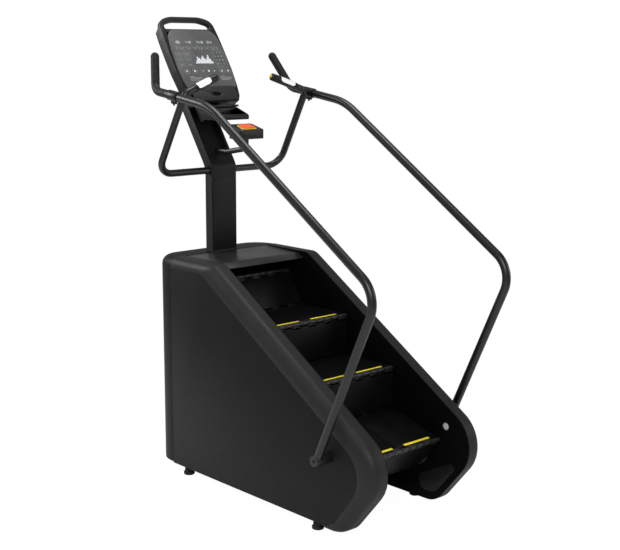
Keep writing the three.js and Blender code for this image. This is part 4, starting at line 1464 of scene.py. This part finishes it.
class CLIMBER_OT_console(bpy.types.Operator):
    """Console shell with its carrying loop, display overlay and bracket"""

    bl_idname = "climber.console"
    bl_label = "Console"

    def execute(self, context):
        self.shell()
        self.face()
        self.display()
        bm = from_node("console_bracket")
        finish_piece(bm, "tilt_bracket", "black", ("console_bracket",),
                     bevel=6, segments=4)
        return {"FINISHED"}

    def shell(self):
        """Housing with the carrying loop's opening, a scoop behind it and the display's bay."""
        half = (
            (138, -72), (156, -40), (166, 20), (173, 110),
            (173, 215), (171, 300), (164, 394), (96, 418),
        )
        radii = [14, 40, 80, 120, 120, 120, 52, 150]
        edge = rounded_loop(both_halves(half), radii + radii[::-1], 9)
        body = bmesh.new()
        upright(body, edge, -61.6, -10.4)
        slit = ((143, 346), (141, 376), (82, 396))
        bends = [10, 24, 120]
        opening = bmesh.new()
        upright(opening, rounded_loop(both_halves(slit), bends + bends[::-1], 8), -90, 10)
        scoop = bmesh.new()
        prism(scoop, [(346, -70), (366, -33), (470, -33), (470, -70)], -200, 200)
        hollow = bmesh.new()
        block(hollow, (-142, -52, -45), (142, 326, 5))
        bm = carve(body, (opening, hollow, scoop))
        bm.transform(HEAD)
        finish_piece(bm, "console_housing", "console",
                     ("console_shell",), bevel=6, segments=5, smooth=30)

    def face(self):
        """Display overlay, and the chin below it with its port."""
        half = ((150, 4), (160, 40), (165, 110), (163, 215), (151, 300), (120, 336))
        radii = [10, 60, 120, 120, 60, 24]
        bm = bmesh.new()
        upright(bm, rounded_loop(both_halves(half), radii + radii[::-1], 8), -9.6, -1.8, HEAD)
        finish_piece(bm, "display_overlay", "overlay", bevel=1.4, segments=3)
        chin = bmesh.new()
        prism(chin, [(11, -1.2), (11, -9.6), (-66, -9.6), (-66, -5), (-40, -2.4)], -136, 136)
        port = bmesh.new()
        upright(port, disc_points(8, -33, 28, 40, 0.40), -8.2, 10)
        bm = carve(chin, (port,))
        bm.transform(HEAD)
        finish_piece(bm, "console_chin", "chin", ("console_face",), bevel=1.2)
        bm = bmesh.new()
        upright(bm, disc_points(8, -33, 27.6, 40, 0.39), -8.2, -7.4, HEAD)
        for x in (-4, 8, 20):
            upright(bm, disc_points(x, -33, 2.6, 20), -7.5, -6.8, HEAD, 1)
        finish_piece(bm, "media_port", ("tread", "screw"), bevel=0.3)

    def display(self):
        """Numbers, keys and a work-out graph printed on the overlay."""
        bm = bmesh.new()
        for k, digits in enumerate((3, 3, 4, 3)):
            self.number(bm, -122 + 66 * k, 258, 12, 3 * k + 1, digits)
        for k in range(14):
            self.number(bm, -128 + 19 * k, 222, 15, 5 * k + 2, ink=FAINT)
        for row in range(3):
            for column in range(2):
                self.key(bm, -131 + 49 * column, 194 - 30 * row)
        for k, tall in enumerate((7, 16, 30, 24, 18, 26, 34, 22, 17, 27, 37, 20, 9)):
            self.patch(bm, (-43 + 8.4 * k, 141), (-35.4 + 8.4 * k, 141 + 1.3 * tall))
        for row in range(4):
            for column in range(3):
                self.number(bm, 90 + 20 * column, 202 - 22 * row, 6, 3 * row + column + 1)
        for k, u in enumerate((-117, -70, 97, 137)):
            self.ring(bm, u, 98, 15)
            self.icon(bm, u, 98, k)
        for u in (-18, 50):
            self.patch(bm, (u - 4, 96.6), (u + 4, 99))
        self.patch(bm, (48.8, 93), (51.2, 102.6))
        self.icon(bm, 16, 98, 1)
        for u in (-116, 74):
            for line, share in enumerate((0.4, 1.0, 0.92, 0.7)):
                self.patch(bm, (u, 66 - 7 * line), (u + 74 * share, 68.6 - 7 * line), FAINT, 0.2)
        self.outlined(bm, (80, 122), (148, 218))
        finish_piece(bm, "display_print", ("ink", "dim_ink"), smooth=30)

    def patch(self, bm, low, high, ink=BRIGHT, thick=0.25):
        """A printed rectangle between two corners of the overlay."""
        block(bm, (*low, PRINT_Z), (*high, PRINT_Z + thick), HEAD, ink)

    def number(self, bm, u, v, tall, first, digits=1, ink=BRIGHT):
        """A row of generic seven-bar digits."""
        wide, thin = tall * 0.52, tall * 0.15
        spots = (
            (0, tall, 1), (0, tall / 2, 0), (wide, tall / 2, 0), (0, tall / 2, 1),
            (0, 0, 0), (wide, 0, 0), (0, 0, 1),
        )
        for d in range(digits):
            x = u + d * (wide + thin * 2.4)
            for lit, (dx, dy, flat) in zip(SEVEN_BARS[(first + d * 7) % 10], spots):
                if lit == "1":
                    size = (wide, thin) if flat else (thin, tall / 2)
                    low = (x + dx - thin / 2, v + dy - thin / 2)
                    self.patch(bm, low, (low[0] + size[0], low[1] + size[1]), ink)

    def key(self, bm, u, v):
        """An outlined membrane key with a short legend bar."""
        self.outlined(bm, (u - 19, v - 10), (u + 19, v + 10))
        self.patch(bm, (u - 11, v - 1.4), (u + 11, v + 1.4), FAINT, 0.2)

    def outlined(self, bm, low, high):
        """A thin printed rectangle."""
        (u0, v0), (u1, v1) = low, high
        for a, b in (
            ((u0, v0), (u1, v0 + 1)), ((u0, v1 - 1), (u1, v1)),
            ((u0, v0 + 1), (u0 + 1, v1 - 1)), ((u1 - 1, v0 + 1), (u1, v1 - 1)),
        ):
            self.patch(bm, a, b, FAINT, 0.2)

    def ring(self, bm, u, v, r):
        """A thin printed circle."""
        loops = []
        for size, raised in ((r, 0.2), (r - 1.3, 0.2), (r - 1.3, 0), (r, 0)):
            outline = disc_points(u, v, size)
            loops.append([bm.verts.new(HEAD @ v3(*p, PRINT_Z + raised)) for p in outline])
        skin(bm, loops, FAINT, closed=True)

    def icon(self, bm, u, v, kind):
        """A small generic sign: arrow, square, pair of bars or dot."""
        if kind == 1:
            self.patch(bm, (u - 5, v - 5), (u + 5, v + 5))
        elif kind == 2:
            for du in (-4, 2):
                self.patch(bm, (u + du, v - 5), (u + du + 3, v + 5))
        else:
            arrow = [(u - 5, v - 6), (u + 7, v), (u - 5, v + 6)]
            outline = disc_points(u, v, 5, 20) if kind else arrow
            upright(bm, outline, PRINT_Z, PRINT_Z + 0.25, HEAD)


class CLIMBER_OT_tray(bpy.types.Operator):
    """Accessory tray with a soft mat"""

    bl_idname = "climber.tray"
    bl_label = "Accessory tray"

    def execute(self, context):
        bm = from_node("accessory_tray")
        for corner in bm.verts:
            if abs(corner.co.x) > 110:
                corner.co.x = math.copysign(102, corner.co.x)
        finish_piece(bm, "tray_moulding", "black",
                     ("accessory_tray",), bevel=1.6, segments=3)
        bm = bmesh.new()
        upright(bm, round_box(79, 34, 5, 0, -21), 1734.1, 1735.3)
        for k in range(12):
            x = -71.5 + 13 * k
            block(bm, (x - 2, -50, 1735.2), (x + 2, 8, 1736.4))
        finish_piece(bm, "tray_mat", "rubber", bevel=0.3)
        return {"FINISHED"}


# The stop switch's top, which leans towards the user.
STOP_TOP = Matrix.Translation((5, -156, 1692)) @ Matrix.Rotation(math.radians(14.5), 4, "X")


class CLIMBER_OT_stop(bpy.types.Operator):
    """Stop switch: arm, housing, bright surround, button and lamps"""

    bl_idname = "climber.stop"
    bl_label = "Stop switch"

    def execute(self, context):
        route = [v3(-8, 62, 1566), v3(-4, -20, 1566), v3(4, -150, 1588), v3(4, -150, 1640)]
        bm = bmesh.new()
        sweep(bm, bent(route, [40, 38], 12), 13.5, 28)
        finish_piece(bm, "stop_bracket_arm", "tube", ("stop_arm",), smooth=45)
        body = bmesh.new()
        sides = rounded_loop([(-69, -207), (75, -207), (75, -104), (-69, -104)], 16, 8)
        upright(body, sides, 1637, 1725)
        top = bmesh.new()
        block(top, (-120, -120, 0), (120, 120, 80), STOP_TOP)
        well = bmesh.new()
        upright(well, round_box(38.6, 29.6, 15), -9, 20, STOP_TOP)
        bm = carve(body, (top, well))
        finish_piece(bm, "stop_box", "black",
                     ("stop_housing",), bevel=2.6, segments=3)
        bm = bmesh.new()
        collar = (
            (43, 33.5, 18, 0.05), (42.4, 33, 18, 1.1),
            (38.8, 29.8, 15, 1.2), (38.4, 29.4, 15, -0.4),
        )
        rings = []
        for wide, deep, r, z in collar:
            rings.append([bm.verts.new(STOP_TOP @ v3(*p, z)) for p in round_box(wide, deep, r)])
        skin(bm, rings, closed=True)
        finish_piece(bm, "stop_surround", "yellow", smooth=40)
        bm = bmesh.new()
        upright(bm, round_box(36.2, 27.2, 13), -2, 6.4, STOP_TOP)
        finish_piece(bm, "stop_cap", "stop", ("stop_button",), "stop_button",
                     bevel=2.2, segments=4, smooth=40)
        self.lamps()
        return {"FINISHED"}

    def lamps(self):
        """Two small bumps on top and a red lamp on the near side."""
        bm = bmesh.new()
        for x, y in ((-56, -38), (-54, -20)):
            lathe(bm, [(0, -0.5), (4, -0.5), (4, 0.4), (3, 1.6), (1.2, 2.1), (0, 2.1)],
                  STOP_TOP @ Matrix.Translation((x, y, 0)), 20)
        finish_piece(bm, "stop_lamps", "lens", smooth=45)
        bm = bmesh.new()
        red = facing((30, -207, 1656), (0, -1, 0))
        lathe(bm, [(0, 0.1), (3.2, 0.1), (3.2, 0.8), (2, 1.7), (0, 1.9)], red, 20)
        finish_piece(bm, "stop_red_lamp", "lamp", smooth=45)


# ---- stage, in metres and degrees ---------------------------------------------
MIDDLE = Vector((0, 0, 0.9))
EYE = (-3.7208, -4.1473, 2.0616)
EYE_AZIMUTH, EYE_ELEVATION, EYE_ROLL = -42.43, 10.56, 0.18
LENS = 70.41


class CLIMBER_OT_stage(bpy.types.Operator):
    """Pale floor, soft studio lights and the camera"""

    bl_idname = "climber.stage"
    bl_label = "Stage"

    def execute(self, context):
        scene = context.scene
        scene.view_settings.view_transform = "Standard"
        world = bpy.data.worlds.new("Studio")
        scene.world = world
        world.use_nodes = True
        self.sky(world.node_tree)
        self.floor()
        self.light("key", (-3.4, -3.4, 3.6), 3.0, 165)
        self.light("fill", (3.4, -3.6, 2.4), 2.4, 40)
        self.light("top", (0.2, 0.4, 5.0), 2.4, 90)
        self.light("rim", (-2.2, 3.4, 3.2), 2.0, 90)
        self.camera(scene)
        return {"FINISHED"}

    def sky(self, tree):
        """White to look at, and a dimmer grey as a light."""
        nodes, links = tree.nodes, tree.links
        nodes.clear()
        output = nodes.new("ShaderNodeOutputWorld")
        output.label = "Studio"
        shade = nodes.new("ShaderNodeBackground")
        shade.label = "Soft room light"
        shade.inputs["Color"].default_value = (1.0, 1.0, 1.0, 1)
        shade.inputs["Strength"].default_value = 0.32
        paper = nodes.new("ShaderNodeBackground")
        paper.label = "White backdrop"
        paper.inputs["Color"].default_value = (1.0, 1.0, 1.0, 1)
        seen = nodes.new("ShaderNodeLightPath")
        seen.label = "Looked at directly"
        choose = nodes.new("ShaderNodeMixShader")
        choose.label = "Backdrop or light"
        links.new(seen.outputs["Is Camera Ray"], choose.inputs[0])
        links.new(shade.outputs["Background"], choose.inputs[1])
        links.new(paper.outputs["Background"], choose.inputs[2])
        links.new(choose.outputs["Shader"], output.inputs["Surface"])
        for column, node in enumerate((seen, shade, paper, choose, output)):
            node.location = (240 * column, 0)

    def floor(self):
        """A wide floor disc of white paper, whose shadows stay faint."""
        bm = bmesh.new()
        bm.faces.new([bm.verts.new((*p, 0)) for p in disc_points(0, 0, 60, 64)])
        mesh = bpy.data.meshes.new("studio_floor")
        bm.to_mesh(mesh)
        bm.free()
        floor = bpy.data.objects.new("studio_floor", mesh)
        bpy.context.collection.objects.link(floor)
        material, nodes, links, shader, output = new_material("pale_floor")
        shader.inputs["Roughness"].default_value = 0.65
        shader.inputs["Base Color"].default_value = (0.93, 0.93, 0.93, 1)
        bright = nodes.new("ShaderNodeEmission")
        bright.label = "Even white"
        bright.inputs["Strength"].default_value = 1.06
        seen = nodes.new("ShaderNodeLightPath")
        seen.label = "Looked at directly"
        share = nodes.new("ShaderNodeMath")
        share.label = "Leaves a faint shadow"
        share.operation = "MULTIPLY"
        share.inputs[1].default_value = 0.92
        blend = nodes.new("ShaderNodeMixShader")
        blend.label = "Paper with its shadow"
        links.new(seen.outputs["Is Camera Ray"], share.inputs[0])
        links.new(share.outputs["Value"], blend.inputs[0])
        links.new(shader.outputs["BSDF"], blend.inputs[1])
        links.new(bright.outputs["Emission"], blend.inputs[2])
        links.new(blend.outputs["Shader"], output.inputs["Surface"])
        spread_out([[seen, share, bright], [shader, blend, output]])
        floor.data.materials.append(material)

    def light(self, name, at, size, power):
        """A round soft light that points at the machine."""
        lamp = bpy.data.lights.new(name, "AREA")
        lamp.shape = "DISK"
        lamp.size = size
        lamp.energy = power
        stand = bpy.data.objects.new(name, lamp)
        bpy.context.collection.objects.link(stand)
        stand.location = at
        aim = MIDDLE - Vector(at)
        stand.rotation_euler = aim.to_track_quat("-Z", "Y").to_euler()

    def camera(self, scene):
        """The three-quarter view from the left of the steps."""
        lens = bpy.data.cameras.new("camera")
        lens.lens = LENS
        lens.sensor_width = 36
        lens.clip_end = 200
        holder = bpy.data.objects.new("camera", lens)
        bpy.context.collection.objects.link(holder)
        turn = Matrix.Rotation(math.radians(EYE_AZIMUTH), 4, "Z")
        tilt = Matrix.Rotation(math.radians(90 - EYE_ELEVATION), 4, "X")
        roll = Matrix.Rotation(math.radians(EYE_ROLL), 4, "Z")
        holder.matrix_world = Matrix.Translation(EYE) @ turn @ tilt @ roll
        scene.camera = holder


class CLIMBER_PT_panel(bpy.types.Panel):
    """Values and makers of the climber"""

    bl_label = "Climber"
    bl_idname = "CLIMBER_PT_panel"
    bl_space_type = "VIEW_3D"
    bl_region_type = "UI"
    bl_category = "Climber"

    def draw(self, context):
        layout = self.layout
        for group in (context.scene.climber_colours, context.scene.climber_sizes):
            for name in group.__annotations__:
                layout.prop(group, name)
        for maker in MAKERS:
            layout.operator(maker.bl_idname)


GROUPS = (ClimberColours, ClimberSizes)
MAKERS = (
    CLIMBER_OT_stage, CLIMBER_OT_covers, CLIMBER_OT_screws, CLIMBER_OT_steps, CLIMBER_OT_drive,
    CLIMBER_OT_mast, CLIMBER_OT_handlebar, CLIMBER_OT_rails, CLIMBER_OT_console, CLIMBER_OT_tray,
    CLIMBER_OT_stop,
)


def register():
    for each in (*GROUPS, *MAKERS, CLIMBER_PT_panel):
        bpy.utils.register_class(each)
    bpy.types.Scene.climber_colours = PointerProperty(type=ClimberColours)
    bpy.types.Scene.climber_sizes = PointerProperty(type=ClimberSizes)


def unregister():
    del bpy.types.Scene.climber_sizes
    del bpy.types.Scene.climber_colours
    for each in reversed((*GROUPS, *MAKERS, CLIMBER_PT_panel)):
        bpy.utils.unregister_class(each)


def main():
    register()
    make_materials()
    bpy.ops.climber.stage()
    bpy.ops.climber.covers()
    bpy.ops.climber.screws()
    bpy.ops.climber.steps()
    bpy.ops.climber.drive()
    bpy.ops.climber.mast()
    bpy.ops.climber.handlebar()
    bpy.ops.climber.rails()
    bpy.ops.climber.console()
    bpy.ops.climber.tray()
    bpy.ops.climber.stop()


if __name__ == "__main__":
    main()
